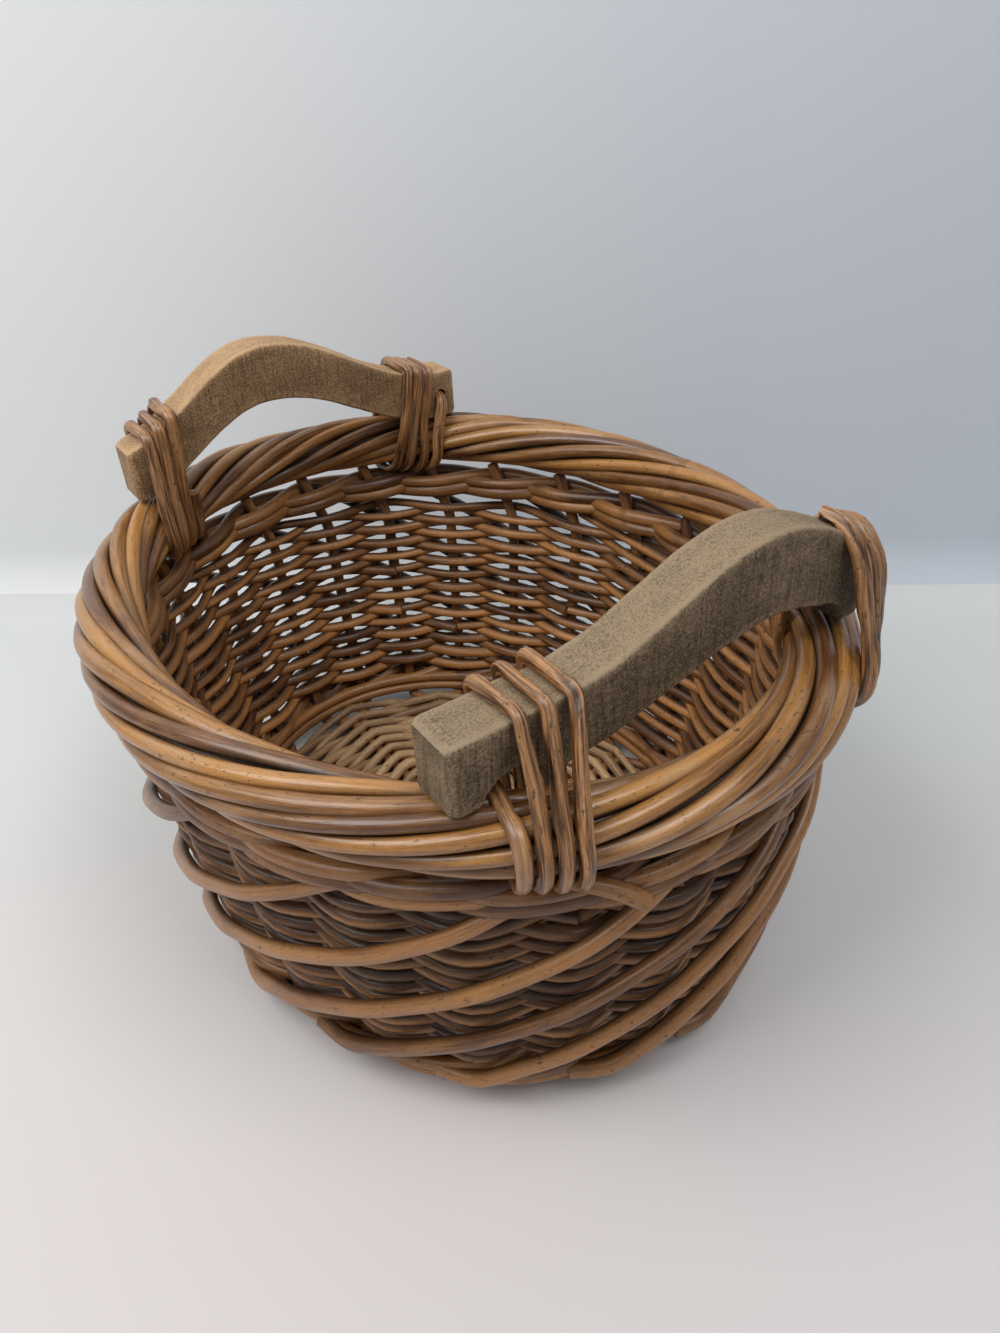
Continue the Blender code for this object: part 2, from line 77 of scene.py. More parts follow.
class BasketSizes(bpy.types.PropertyGroup):
    """Sizes of the wall, the rods and the handles."""

    foot_half_width: size_setting("Foot half width", "Half width of the wall's oval at the foot", 0.130)
    foot_half_length: size_setting("Foot half length", "Half length of the wall's oval at the foot", 0.160)
    rim_half_width: size_setting("Rim half width", "Half width of the border's middle line", 0.1574)
    rim_half_length: size_setting("Rim half length", "Half length of the border's middle line", 0.1907)
    rim_height: size_setting("Rim height", "Height of the border's middle line", 0.1900)
    wall_inset: size_setting(
        "Wall inset", "How far the wall's top stands inside the border's middle line", 0.003)
    wall_bulge: bpy.props.FloatProperty(
        name="Wall bulge", description="How far the wall swells beyond a straight taper",
        default=0.16, subtype="FACTOR")
    stake_radius: size_setting("Stake radius", "Radius of the uprights", 0.0035)
    weaver_radius: size_setting("Weaver radius", "Radius of the rods woven round the uprights", 0.0029)
    row_pitch: size_setting("Row pitch", "Height from one woven row to the next", 0.0048)
    wale_radius: size_setting(
        "Wale radius", "Radius of the thicker rods at the foot and under the border", 0.0034)
    border_rod_radius: size_setting(
        "Border rod radius", "Radius of the rods rolled round the border", 0.00378)
    climbing_radius: size_setting(
        "Climbing rod radius", "Radius of the rods that climb round the outside", 0.0038)
    lashing_radius: size_setting("Lashing radius", "Radius of the rods that tie the handles on", 0.0030)
    handle_thickness: size_setting("Handle thickness", "Thickness of the handles' board", 0.0233)


class BasketColours(bpy.types.PropertyGroup):
    """Colours of the willow, the wood and the studio."""

    border_dark: colour_setting("Border dark", "Darker willow of the border", (0.095, 0.031, 0.007))
    border_light: colour_setting("Border light", "Lighter willow of the border", (0.450, 0.210, 0.050))
    # Pale patches, partly bare worn willow and partly a painted sheen of the varnish.
    border_worn_and_sheen: colour_setting(
        "Border worn", "Pale bare patches on the willow of the border", (0.470, 0.275, 0.135))
    wall_dark: colour_setting("Wall dark", "Darker willow of the woven wall", (0.090, 0.029, 0.007))
    wall_light: colour_setting("Wall light", "Lighter willow of the woven wall", (0.580, 0.265, 0.080))
    wale_dark: colour_setting(
        "Wale dark", "Darker willow of the thicker rods round the wall", (0.070, 0.023, 0.006))
    wale_light: colour_setting(
        "Wale light", "Lighter willow of the thicker rods round the wall", (0.360, 0.160, 0.045))
    base_dark: colour_setting("Base dark", "Darker willow of the base", (0.190, 0.100, 0.048))
    base_light: colour_setting("Base light", "Lighter willow of the base", (0.560, 0.360, 0.180))
    lashing_dark: colour_setting("Lashing dark", "Darker willow of the lashings", (0.060, 0.021, 0.007))
    lashing_light: colour_setting("Lashing light", "Lighter willow of the lashings", (0.460, 0.222, 0.078))
    wood_dark: colour_setting("Wood dark", "Weathered dark of the front handle", (0.078, 0.052, 0.030))
    wood_light: colour_setting("Wood light", "Bleached light of the front handle", (0.320, 0.236, 0.146))
    brown_wood_dark: colour_setting(
        "Brown wood dark", "Darker wood of the back handle", (0.150, 0.085, 0.038))
    brown_wood_light: colour_setting(
        "Brown wood light", "Lighter wood of the back handle", (0.540, 0.350, 0.190))
    # The dust lies in blotches; the darkening in the grooves is painted shade, not this colour.
    dust: colour_setting("Dust", "Old dust and dirt in the grooves", (0.165, 0.120, 0.085))
    floor: colour_setting("Floor", "The studio floor", (0.655, 0.620, 0.625))
    far_floor: colour_setting(
        "Far floor", "The studio floor where it nears the backdrop", (0.64, 0.66, 0.66))
    backdrop: colour_setting("Backdrop", "The studio backdrop", (0.74, 0.76, 0.77))
    # Painted shade: the backdrop darkens and turns bluer towards the right, where less light falls.
    shaded_backdrop: colour_setting(
        "Far backdrop", "The studio backdrop at the right", (0.54, 0.58, 0.65))


def sizes():
    return bpy.context.scene.basket_sizes


def colours():
    return bpy.context.scene.basket_colours


# Rods as meshes
def smooth_path(points, step, closed=False):
    """A smooth curve through the points, as places about one step apart."""
    given = np.asarray(points, float)
    if closed:
        control = np.vstack([given[-1], given, given[0], given[1]])
    else:
        control = np.vstack([2 * given[0] - given[1], given, 2 * given[-1] - given[-2]])
    places = []
    for number in range(len(control) - 3):
        before, start, end, after = control[number:number + 4]
        count = max(1, int(round(np.linalg.norm(end - start) / step)))
        for share in np.arange(count) / count:
            bend = (2 * start + (end - before) * share
                    + (2 * before - 5 * start + 4 * end - after) * share**2
                    + (3 * start - before - 3 * end + after) * share**3)
            places.append(bend / 2)
    if not closed:
        places.append(given[-1])
    return np.array(places)


def length_along(path):
    """How far along the path each of its places lies."""
    return np.concatenate([[0.0], np.cumsum(np.linalg.norm(np.diff(path, axis=0), axis=1))])


def wander(seed, along, scale):
    """A smooth random value from -1 to 1 along a rod."""
    return np.array([noise.noise(Vector((place * scale, seed * 7.31, seed * 1.7))) for place in along])


def ring_wander(seed, shares, waves):
    """A smooth random value from -1 to 1 along a closed rod, the same at both ends."""
    return np.array([noise.noise(Vector((waves * math.cos(turn), waves * math.sin(turn), seed * 3.17)))
                     for turn in shares * math.tau])


def unit(rows):
    return rows / np.linalg.norm(rows, axis=1)[:, None]


def rod_frame(path, closed):
    """The direction of a rod at each place, and two directions across it that turn as little as they can."""
    ahead = np.roll(path, -1, 0) - path
    if not closed:
        ahead[-1] = path[-1] - path[-2]
    behind = np.roll(ahead, 1, 0)
    if not closed:
        behind[0] = ahead[0]
    tangent = unit(unit(ahead) + unit(behind))
    side = np.zeros_like(path)
    first = np.cross(tangent[0], (0.0, 0.0, 1.0))
    if np.linalg.norm(first) < 0.1:
        first = np.cross(tangent[0], (1.0, 0.0, 0.0))
    side[0] = first / np.linalg.norm(first)
    for number in range(1, len(path)):
        carried = side[number - 1] - tangent[number] * side[number - 1].dot(tangent[number])
        side[number] = carried / np.linalg.norm(carried)
    return tangent, side, np.cross(tangent, side)


def closing_twist(tangent, side, over):
    """How far the carried frame has turned when a ring closes, which is taken back evenly."""
    last = side[-1] - tangent[0] * side[-1].dot(tangent[0])
    return -math.atan2(last.dot(over[0]), last.dot(side[0]))


class Bundle:
    """Round rods gathered into one mesh, with the places that their bark pattern follows."""

    def __init__(self, name, sides):
        self.name = name
        self.sides = sides
        self.vertices = []
        self.faces = []
        self.skin = []
        self.tone = []
        self.open = []
        self.count = 0

    def add(self, path, radius, seed, tone=None, closed=False, openness=None, taper=0.0, rough=0.05,
            split=0.0, flat=0.05):
        """Adds one rod. A split is the depth, as a share of the radius, of the cracks along it.

        The unshaded share gives, from the places on the skin and their directions, how free of painted shade
        they are.
        """
        path = np.asarray(path, float)
        tangent, side, over = rod_frame(path, closed)
        length = length_along(path)
        rings = len(path)
        shares = np.arange(rings) / (rings if closed else rings - 1)
        spins = np.linspace(0, math.tau, self.sides, endpoint=False)
        turned = np.repeat(spins[None, :], rings, 0)
        if closed:
            uneven = 1 + rough * ring_wander(seed, shares, 3.0)
            spread = radius * (uneven + 0.5 * rough * ring_wander(seed + 1, shares, 9.0))
            turned = turned + shares[:, None] * closing_twist(tangent, side, over)
        else:
            spread = radius * (1 - taper * (shares - 0.5) + rough * wander(seed, length, 45.0))
        around = side[:, None] * np.cos(turned)[..., None] + over[:, None] * np.sin(turned)[..., None]
        reach = spread[:, None] * (1 + flat * np.cos(2 * (turned + seed)))
        unshaded_skin = np.ones((rings, self.sides))
        if openness is not None:
            unshaded_skin = openness(path[:, None] + around * reach[..., None], around)
        if split:
            reach, unshaded_skin = self.cracked(reach, unshaded_skin, spins, length, seed, split)
        places = path[:, None] + around * reach[..., None]
        if tone is None:
            tone = (math.sin(seed * 12.9898) * 43758.5453) % 1.0
        pattern_start = (seed * 0.7137) % 5.0
        skin = np.stack([
            np.cos(spins)[None, :] * spread[:, None],
            np.sin(spins)[None, :] * spread[:, None],
            np.repeat((length + pattern_start)[:, None], self.sides, 1),
        ], -1)
        base = self.count
        self.vertices.append(places.reshape(-1, 3))
        self.skin.append(skin.reshape(-1, 3))
        self.tone.append(np.full(rings * self.sides, tone))
        self.open.append(unshaded_skin.reshape(-1))
        for ring in range(rings if closed else rings - 1):
            here = base + ring * self.sides
            there = base + (ring + 1) % rings * self.sides
            for corner in range(self.sides):
                beside = (corner + 1) % self.sides
                self.faces.append((here + corner, here + beside, there + beside, there + corner))
        self.count += rings * self.sides
        if not closed:
            self.cap(base, path[0], -tangent[0], spread[0], tone, True)
            self.cap(base + (rings - 1) * self.sides, path[-1], tangent[-1], spread[-1], tone, False)

    def cracked(self, reach, unshaded_skin, spins, length, seed, split):
        """Cuts two wandering cracks along a rod, and darkens them with painted shade."""
        for crack in range(2):
            line = seed * 2.1 + crack * 2.6 + 2.2 * wander(seed + crack, length, 16.0)
            groove = np.clip((np.cos(spins[None, :] - line[:, None]) - 0.80) / 0.20, 0, 1)
            groove *= np.clip(0.5 + 2.6 * wander(seed + 9 + crack, length, 34.0), 0, 1)[:, None]
            reach = reach * (1 - split * groove)
            unshaded_skin = unshaded_skin * (1 - 0.85 * groove)
        return reach, unshaded_skin

    def cap(self, ring, middle, outward, spread, tone, flip):
        """Closes a cut end with a slightly domed fan."""
        self.vertices.append((middle + outward * spread * 0.25)[None, :])
        self.skin.append(np.zeros((1, 3)))
        self.tone.append(np.array([tone]))
        self.open.append(np.array([1.0]))
        centre = self.count
        self.count += 1
        for corner in range(self.sides):
            beside = (corner + 1) % self.sides
            pair = (ring + beside, ring + corner) if flip else (ring + corner, ring + beside)
            self.faces.append((*pair, centre))

    def object(self, material):
        mesh = bpy.data.meshes.new(self.name)
        mesh.from_pydata(np.concatenate(self.vertices).tolist(), [], self.faces)
        # The unshaded layer holds how far each point of the skin lies out of the painted shade.
        for label, kind, field, values in (
            ("skin", "FLOAT_VECTOR", "vector", self.skin),
            ("tone", "FLOAT", "value", self.tone),
            ("open", "FLOAT", "value", self.open),
        ):
            layer = mesh.attributes.new(label, kind, "POINT")
            layer.data.foreach_set(field, np.concatenate(values).astype(np.float32).ravel())
        return finished_object(self.name, mesh, material, 60)


def placed_object(name, data):
    made = bpy.data.objects.new(name, data)
    bpy.context.scene.collection.objects.link(made)
    return made


def finished_object(name, mesh, material, sharp_degrees):
    """A smooth-shaded object whose edges stay sharp where they bend by more than the angle."""
    mesh.materials.append(material)
    mesh.shade_smooth()
    mesh.set_sharp_from_angle(angle=math.radians(sharp_degrees))
    return placed_object(name, mesh)


def settle(piece, slot_name, *nodes):
    """Puts a finished piece on the basket, in place of the plain solids that it stands for."""
    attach(piece, "root")
    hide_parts(*nodes)


# Where things are

# The border rods' middles wind on a circle, and a solid rod's skin stands a little outside it.
border_solid_low, border_solid_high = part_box("border_rod_1")
border_solid_skin = 0.0033
border_circle = (border_solid_high.z - border_solid_low.z) / 2 - border_solid_skin
stake_height = max(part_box(f"long_stake_{number + 1}")[1].z for number in range(stakes_each_way))

# The topmost share of the uprights leans along the wall by this part of the bay between two of them.
lean_bays = 0.30
lean_share = 0.20
lean_start = 1 - lean_share


def wall_oval(height):
    """Half width and half length of the oval of the uprights' middles at a height."""
    s = sizes()
    share = min(max(height / stake_height, 0.0), 1.0)
    widening = share + s.wall_bulge * 4 * share * (1 - share)
    half_width = s.foot_half_width + (s.rim_half_width - s.wall_inset - s.foot_half_width) * widening
    half_length = s.foot_half_length + (s.rim_half_length - s.wall_inset - s.foot_half_length) * widening
    return half_width, half_length


def wall_point(angle, height, outward):
    """A place at an angle round the wall, outward from the uprights' middles."""
    half_width, half_length = wall_oval(height)
    return np.array([
        (half_width + outward) * math.cos(angle),
        (half_length + outward) * math.sin(angle),
        height,
    ])


def stake_angle(index):
    return (index + 0.5) * math.tau / stake_count


def leaning(height):
    """How far the uprights lean along the wall, as they are bent towards the border."""
    return lean_bays * max(height / stake_height - lean_start, 0.0) / lean_share * math.tau / stake_count


def over_or_under(crossing):
    """The side of the uprights on which a rod passes them, which changes from each to the next."""
    return 1 if crossing % 2 == 0 else -1


def facing_out(places, around):
    """How squarely each part of a rod's skin faces away from the basket's middle."""
    outward = places * (1.0, 1.0, 0.0)
    outward /= np.linalg.norm(outward, axis=-1)[..., None]
    return (around * outward).sum(-1)


# Patterns and materials
def node(tree, kind, **settings):
    made = tree.nodes.new(kind)
    for name, value in settings.items():
        setattr(made, name, value)
    return made


def feed(tree, target, source):
    """Sets a socket to a number or colour, or links it to another socket."""
    if isinstance(source, bpy.types.NodeSocket):
        tree.links.new(source, target)
    else:
        target.default_value = source


def maths(tree, operation, first, second, clamp=False):
    made = node(tree, "ShaderNodeMath", operation=operation, use_clamp=clamp)
    feed(tree, made.inputs[0], first)
    feed(tree, made.inputs[1], second)
    return made.outputs[0]


def weighed(tree, value, weight, middle=0.0, clamp=False):
    """How far the value lies above the middle, times the weight."""
    if middle:
        value = maths(tree, "SUBTRACT", value, middle)
    return maths(tree, "MULTIPLY", value, weight, clamp)


def total(tree, first, *others, clamp=False):
    """The sum of all the values, clamped at the last step if asked."""
    for number, other in enumerate(others):
        first = maths(tree, "ADD", first, other, clamp and number == len(others) - 1)
    return first


def mixed(tree, share, first, second, blend="MIX"):
    made = node(tree, "ShaderNodeMix", data_type="RGBA", blend_type=blend)
    feed(tree, made.inputs["Factor"], share)
    feed(tree, made.inputs[6], first)
    feed(tree, made.inputs[7], second)
    return made.outputs[2]


def stained(tree, share, colour, stain):
    """The colour, darkened by the stain where the share is high."""
    return mixed(tree, share, colour, mixed(tree, 1.0, colour, opaque(stain), "MULTIPLY"))


def grain(tree, place, stretch, scale, detail, roughness):
    """Noise that is drawn out by the stretch along each axis."""
    drawn = node(tree, "ShaderNodeVectorMath", operation="MULTIPLY")
    feed(tree, drawn.inputs[0], place)
    feed(tree, drawn.inputs[1], stretch)
    made = node(tree, "ShaderNodeTexNoise")
    feed(tree, made.inputs["Vector"], drawn.outputs[0])
    made.inputs["Scale"].default_value = scale
    made.inputs["Detail"].default_value = detail
    made.inputs["Roughness"].default_value = roughness
    return made.outputs["Fac"]


def between(tree, value, low, high, end=1.0):
    """The value mapped smoothly from low..high to 0..end and kept there."""
    made = node(tree, "ShaderNodeMapRange", interpolation_type="SMOOTHSTEP")
    feed(tree, made.inputs["Value"], value)
    made.inputs["From Min"].default_value = low
    made.inputs["From Max"].default_value = high
    made.inputs["To Max"].default_value = end
    return made.outputs["Result"]


def painted(tree, layer, output="Fac"):
    """A value that the mesh carries at each of its points."""
    return node(tree, "ShaderNodeAttribute", attribute_name=layer).outputs[output]


def opaque(colour):
    return (*colour, 1.0)


surface_outputs = {"Colour": "NodeSocketColor", "Roughness": "NodeSocketFloat", "Relief": "NodeSocketFloat"}


def surface_group(name, inputs):
    """A new group with the inputs given, colours and numbers, and the outputs that every surface has."""
    group = bpy.data.node_groups.new(name, "ShaderNodeTree")
    for label, default in inputs.items():
        kind = "NodeSocketColor" if isinstance(default, tuple) else "NodeSocketFloat"
        made = group.interface.new_socket(name=label, in_out="INPUT", socket_type=kind)
        made.default_value = default
    for label, kind in surface_outputs.items():
        group.interface.new_socket(name=label, in_out="OUTPUT", socket_type=kind)
    return group, node(group, "NodeGroupInput").outputs, node(group, "NodeGroupOutput").inputs


def willow_group():
    """Colour, roughness and relief of an old varnished willow rod."""
    name = "willow skin"
    if name in bpy.data.node_groups:
        return bpy.data.node_groups[name]
    group, given, result = surface_group(name, {
        "Dark": (0.1, 0.05, 0.02, 1.0),
        "Light": (0.5, 0.3, 0.1, 1.0),
        "Worn and sheen": (0.6, 0.4, 0.3, 1.0),
        "Dust": (0.2, 0.15, 0.1, 1.0),
        "Dustiness": 0.3,
        "Bark": 0.5,
        "Gloss": 0.5,
        "Streaks": 0.7,
    })
    skin = painted(group, "skin", "Vector")
    streak = grain(group, skin, (1.0, 1.0, 0.045), 950.0, 4.0, 0.6)
    fibre = grain(group, skin, (1.0, 1.0, 0.12), 2600.0, 2.0, 0.5)
    blotch = grain(group, skin, (0.8, 0.8, 0.35), 85.0, 3.0, 0.6)
    patch = grain(group, skin, (0.5, 0.5, 0.3), 22.0, 2.0, 0.5)
    speck = grain(group, skin, (1.0, 1.0, 0.55), 620.0, 3.0, 0.65)
    # Pale patches: partly bare, worn willow and partly painted sheen on the varnish.
    bare_and_sheen = grain(group, skin, (0.5, 0.5, 0.22), 60.0, 3.0, 0.55)
    bare_and_sheen = weighed(group, between(group, bare_and_sheen, 0.54, 0.68), 0.55)
    knot = between(group, total(group, speck, weighed(group, blotch, 0.25)), 0.76, 0.82)
    bark = weighed(group, between(group, fibre, 0.48, 0.72), given["Bark"], clamp=True)
    dusty = weighed(group, between(group, blotch, 0.45, 0.70), given["Dustiness"], clamp=True)
    # Painted shade: skin that the mesh marks as lying in a groove or against a neighbour is darkened below.
    painted_shade = maths(group, "SUBTRACT", 1.0, painted(group, "open"), True)
    level = total(
        group,
        weighed(group, painted(group, "tone"), 0.50),
        weighed(group, blotch, 0.60),
        weighed(group, streak, given["Streaks"], 0.5),
        weighed(group, patch, 1.0, 0.5),
    )
    colour = mixed(group, between(group, level, 0.15, 0.92), given["Dark"], given["Light"])
    colour = mixed(group, bare_and_sheen, colour, given["Worn and sheen"])
    colour = stained(group, bark, colour, (0.45, 0.36, 0.30))
    colour = mixed(group, dusty, colour, given["Dust"])
    colour = mixed(group, weighed(group, knot, 0.75), colour, opaque((0.030, 0.013, 0.007)))
    # Darkens that skin with a near-black painted shade.
    colour = stained(group, painted_shade, colour, (0.09, 0.065, 0.050))
    feed(group, result["Colour"], colour)
    feed(group, result["Roughness"], total(
        group,
        weighed(group, given["Gloss"], -0.50),
        0.78,
        weighed(group, streak, 0.30, 0.5),
        weighed(group, dusty, 0.30),
        weighed(group, painted_shade, 0.2),
        clamp=True,
    ))
    feed(group, result["Relief"], total(
        group,
        weighed(group, streak, 0.45),
        weighed(group, fibre, 0.12),
        weighed(group, blotch, 0.9),
        weighed(group, knot, -0.30),
    ))
    return group


def wood_group():
    """Colour, roughness and relief of weathered board, with its grain along X."""
    name = "weathered board"
    if name in bpy.data.node_groups:
        return bpy.data.node_groups[name]
    group, given, result = surface_group(name, {
        "Dark": (0.1, 0.06, 0.03, 1.0),
        "Light": (0.4, 0.3, 0.2, 1.0),
        "Wear": 0.5,
        "Shift": 0.0,
    })
    shifted = node(group, "ShaderNodeVectorMath", operation="ADD")
    offset = node(group, "ShaderNodeCombineXYZ")
    feed(group, offset.inputs["X"], given["Shift"])
    feed(group, shifted.inputs[0], node(group, "ShaderNodeTexCoord").outputs["Object"])
    feed(group, shifted.inputs[1], offset.outputs["Vector"])
    spot = shifted.outputs[0]
    face = node(group, "ShaderNodeSeparateXYZ")
    feed(group, face.inputs["Vector"], node(group, "ShaderNodeNewGeometry").outputs["True Normal"])
    # Painted light: faces that look up are made lighter, as if lit from above.
    upward = between(group, face.outputs["Z"], 0.35, 0.85)
    endwise = between(group, maths(group, "ABSOLUTE", face.outputs["X"], 0.0), 0.80, 0.95)
    edge = painted(group, "edge")
    long_grain = grain(group, spot, (0.05, 1.0, 1.0), 900.0, 4.0, 0.65)
    fine_grain = grain(group, spot, (0.10, 1.0, 1.0), 2600.0, 3.0, 0.6)
    saw = grain(group, spot, (1.0, 0.3, 0.06), 850.0, 4.0, 0.65)
    speck = grain(group, spot, (0.8, 1.0, 1.0), 1150.0, 4.0, 0.75)
    cloud = grain(group, spot, (0.5, 1.0, 1.0), 55.0, 4.0, 0.6)
    stain = grain(group, spot, (1.0, 1.0, 1.0), 30.0, 3.0, 0.6)
    across = total(group, 0.60, weighed(group, upward, -0.50))
    cuts = weighed(group, between(group, saw, 0.50, 0.66), across, clamp=True)
    level = total(
        group,
        weighed(group, long_grain, 0.45, 0.5),
        weighed(group, cloud, 1.0, 0.5),
        weighed(group, speck, 3.0, 0.5),
        weighed(group, upward, 0.34),
        weighed(group, edge, weighed(group, given["Wear"], 0.35)),
        weighed(group, endwise, -0.16),
    )
    colour = mixed(group, between(group, level, -0.45, 0.75), given["Dark"], given["Light"])
    colour = stained(group, cuts, colour, (0.55, 0.50, 0.45))
    colour = stained(group, between(group, stain, 0.56, 0.72, 0.5), colour, (0.60, 0.52, 0.44))
    feed(group, result["Colour"], colour)
    feed(group, result["Roughness"], total(
        group,
        0.72,
        weighed(group, speck, 0.3, 0.5),
        weighed(group, edge, -0.10),
        clamp=True,
    ))
    feed(group, result["Relief"], total(
        group,
        weighed(group, long_grain, 0.25),
        weighed(group, fine_grain, 0.15),
        weighed(group, speck, 0.6),
        weighed(group, cuts, -0.5),
    ))
    return group


def surface_material(name, group, settings, specular, depth):
    """A material whose colour, roughness and relief come from a group with settings of its own."""
    material = bpy.data.materials.new(name)
    material.use_nodes = True
    tree = material.node_tree
    shader = tree.nodes["Principled BSDF"]
    surface = node(tree, "ShaderNodeGroup", node_tree=group)
    for label, value in settings.items():
        surface.inputs[label].default_value = value
    bump = node(tree, "ShaderNodeBump")
    bump.inputs["Strength"].default_value = 1.0
    bump.inputs["Distance"].default_value = depth
    feed(tree, bump.inputs["Height"], surface.outputs["Relief"])
    feed(tree, shader.inputs["Base Color"], surface.outputs["Colour"])
    feed(tree, shader.inputs["Roughness"], surface.outputs["Roughness"])
    feed(tree, shader.inputs["Normal"], bump.outputs["Normal"])
    shader.inputs["Specular IOR Level"].default_value = specular
    return material


def willow_material(name, dark, light, worn, dustiness, bark, gloss, depth=0.0004, streaks=0.9):
    # The worn colour fills pale patches that are partly wear and partly painted sheen.
    material = surface_material(name, willow_group(), {
        "Dark": opaque(dark),
        "Light": opaque(light),
        "Worn and sheen": opaque(worn),
        "Dust": opaque(colours().dust),
        "Dustiness": dustiness,
        "Bark": bark,
        "Gloss": gloss,
        "Streaks": streaks,
    }, specular=0.5, depth=depth)
    shader = material.node_tree.nodes["Principled BSDF"]
    shader.inputs["Coat Weight"].default_value = 0.55 * gloss
    shader.inputs["Coat Roughness"].default_value = 0.22
    return material


def wood_material(name, shift, dark, light):
    return surface_material(name, wood_group(), {
        "Dark": opaque(dark),
        "Light": opaque(light),
        "Wear": 0.8,
        "Shift": shift,
    }, specular=0.3, depth=0.0008)


# The uprights and the base
base_height = 0.0084
dome_edge, dome_top = 0.100, 0.025
dome_rise = 0.006
stake_gap = 0.0003
crossing_height = 0.0144
knee_reach = 0.0235
spoke_places = (0.052, 0.100, 0.115)
corner_inset = 0.0035
corner_height = 0.0120
upright_shares = np.linspace(0.15, 1.0, 9)


def base_point(half_width, angle, aside, rise):
    """A place on the slightly domed base, beside the line that runs out at the angle."""
    s = sizes()
    along = np.array([math.cos(angle), s.foot_half_length / s.foot_half_width * math.sin(angle)])
    left = np.array([-along[1], along[0]]) / np.hypot(*along)
    inward = min(max((dome_edge - half_width) / (dome_edge - dome_top), 0.0), 1.0)
    place = along * half_width + left * aside
    return np.array([place[0], place[1], base_height + dome_rise * inward + rise])


def stake_path(along_y, index):
    """A long rod from the top of the wall, down, across under the basket and up the other side."""
    pitch = 2 * sizes().stake_radius + stake_gap
    pair = index // 2 - 1
    aside = (index % 2 - 0.5) * pitch
    across = pair * 2 * pitch + aside
    layer = crossing_height + (pitch / 2 if along_y else -pitch / 2)
    halves = []
    for end in (1, -1):
        straight_on = math.atan2(end, 0) if along_y else math.atan2(0, end)
        turn = -end if along_y else end
        pair_angle = straight_on + turn * pair * math.tau / spoke_pairs
        rise_angle = straight_on + turn * (index - (stakes_each_way - 1) / 2) * math.tau / stake_count
        knee = end * knee_reach
        half = [np.array([across, knee, layer] if along_y else [knee, across, layer])]
        for half_width in spoke_places:
            half.append(base_point(half_width, pair_angle, turn * aside, 0.0))
        half.append(wall_point(rise_angle, base_height, -corner_inset))
        half.append(wall_point(rise_angle, corner_height, 0.0))
        for share in upright_shares:
            height = share * stake_height
            half.append(wall_point(rise_angle + leaning(height), height, 0.0))
        halves.append(half)
    middle = [halves[1][0] * 0.5 + halves[0][0] * 0.5]
    return list(reversed(halves[0])) + middle + halves[1]


class BASKET_OT_stakes(bpy.types.Operator):
    """Adds the long rods that cross under the basket and turn up as its uprights"""

    bl_idname = "basket.stakes"
    bl_label = "Stakes"

    def execute(self, context):
        c = colours()
        willow = willow_material("stake willow", c.wall_dark, c.wall_light, c.wall_light,
                                 dustiness=0.35, bark=0.6, gloss=0.35)
        for set_name, along_y, first_seed in (("long_stake", True, 20), ("cross_stake", False, 40)):
            for index in range(stakes_each_way):
                name = f"{set_name}_{index + 1}"
                seed = index + first_seed
                stake = Bundle("willow_" + name, 8)
                path = smooth_path(stake_path(along_y, index), step=0.006)
                stake.add(path, sizes().stake_radius, seed, tone=0.2 + 0.06 * (seed % 7), rough=0.07)
                settle(stake.object(willow), "stake_willow", name)
        return {"FINISHED"}


class BASKET_OT_base(bpy.types.Operator):
    """Adds the close weave of the base, over and under each pair of spokes"""

    bl_idname = "basket.base"
    bl_label = "Base"

    first_turn, last_turn = 0.0330, 0.1232
    pitch = 0.0046
    rod_radius = 0.0029
    rod_stations = 31
    pair_width = 0.0073
    pair_rise = 0.0052

    def execute(self, context):
        c = colours()
        willow = willow_material("base willow", c.base_dark, c.base_light, c.base_light,
                                 dustiness=0.20, bark=0.5, gloss=0.30)
        weave = Bundle("woven_base", 8)
        last = int((self.last_turn - self.first_turn) / self.pitch * spoke_pairs)
        for piece, start in enumerate(range(0, last, self.rod_stations)):
            points = []
            stop = min(start + self.rod_stations, last)
            for station in range(start, stop + 1):
                half_width = self.first_turn + self.pitch * station / spoke_pairs
                rise = over_or_under(station + station // spoke_pairs) * self.pair_rise
                angle = station * math.tau / spoke_pairs
                for half in (-0.5, 0.5):
                    points.append(base_point(half_width, angle, half * self.pair_width, rise))
                if station < stop:
                    half_width += self.pitch / spoke_pairs / 2
                    points.append(base_point(half_width, angle + math.pi / spoke_pairs, 0.0, 0.0))
            weave.add(smooth_path(points, step=0.0035), self.rod_radius, 300 + piece, taper=0.2, rough=0.10)
        settle(weave.object(willow), "base_willow", "base_weaver")
        return {"FINISHED"}


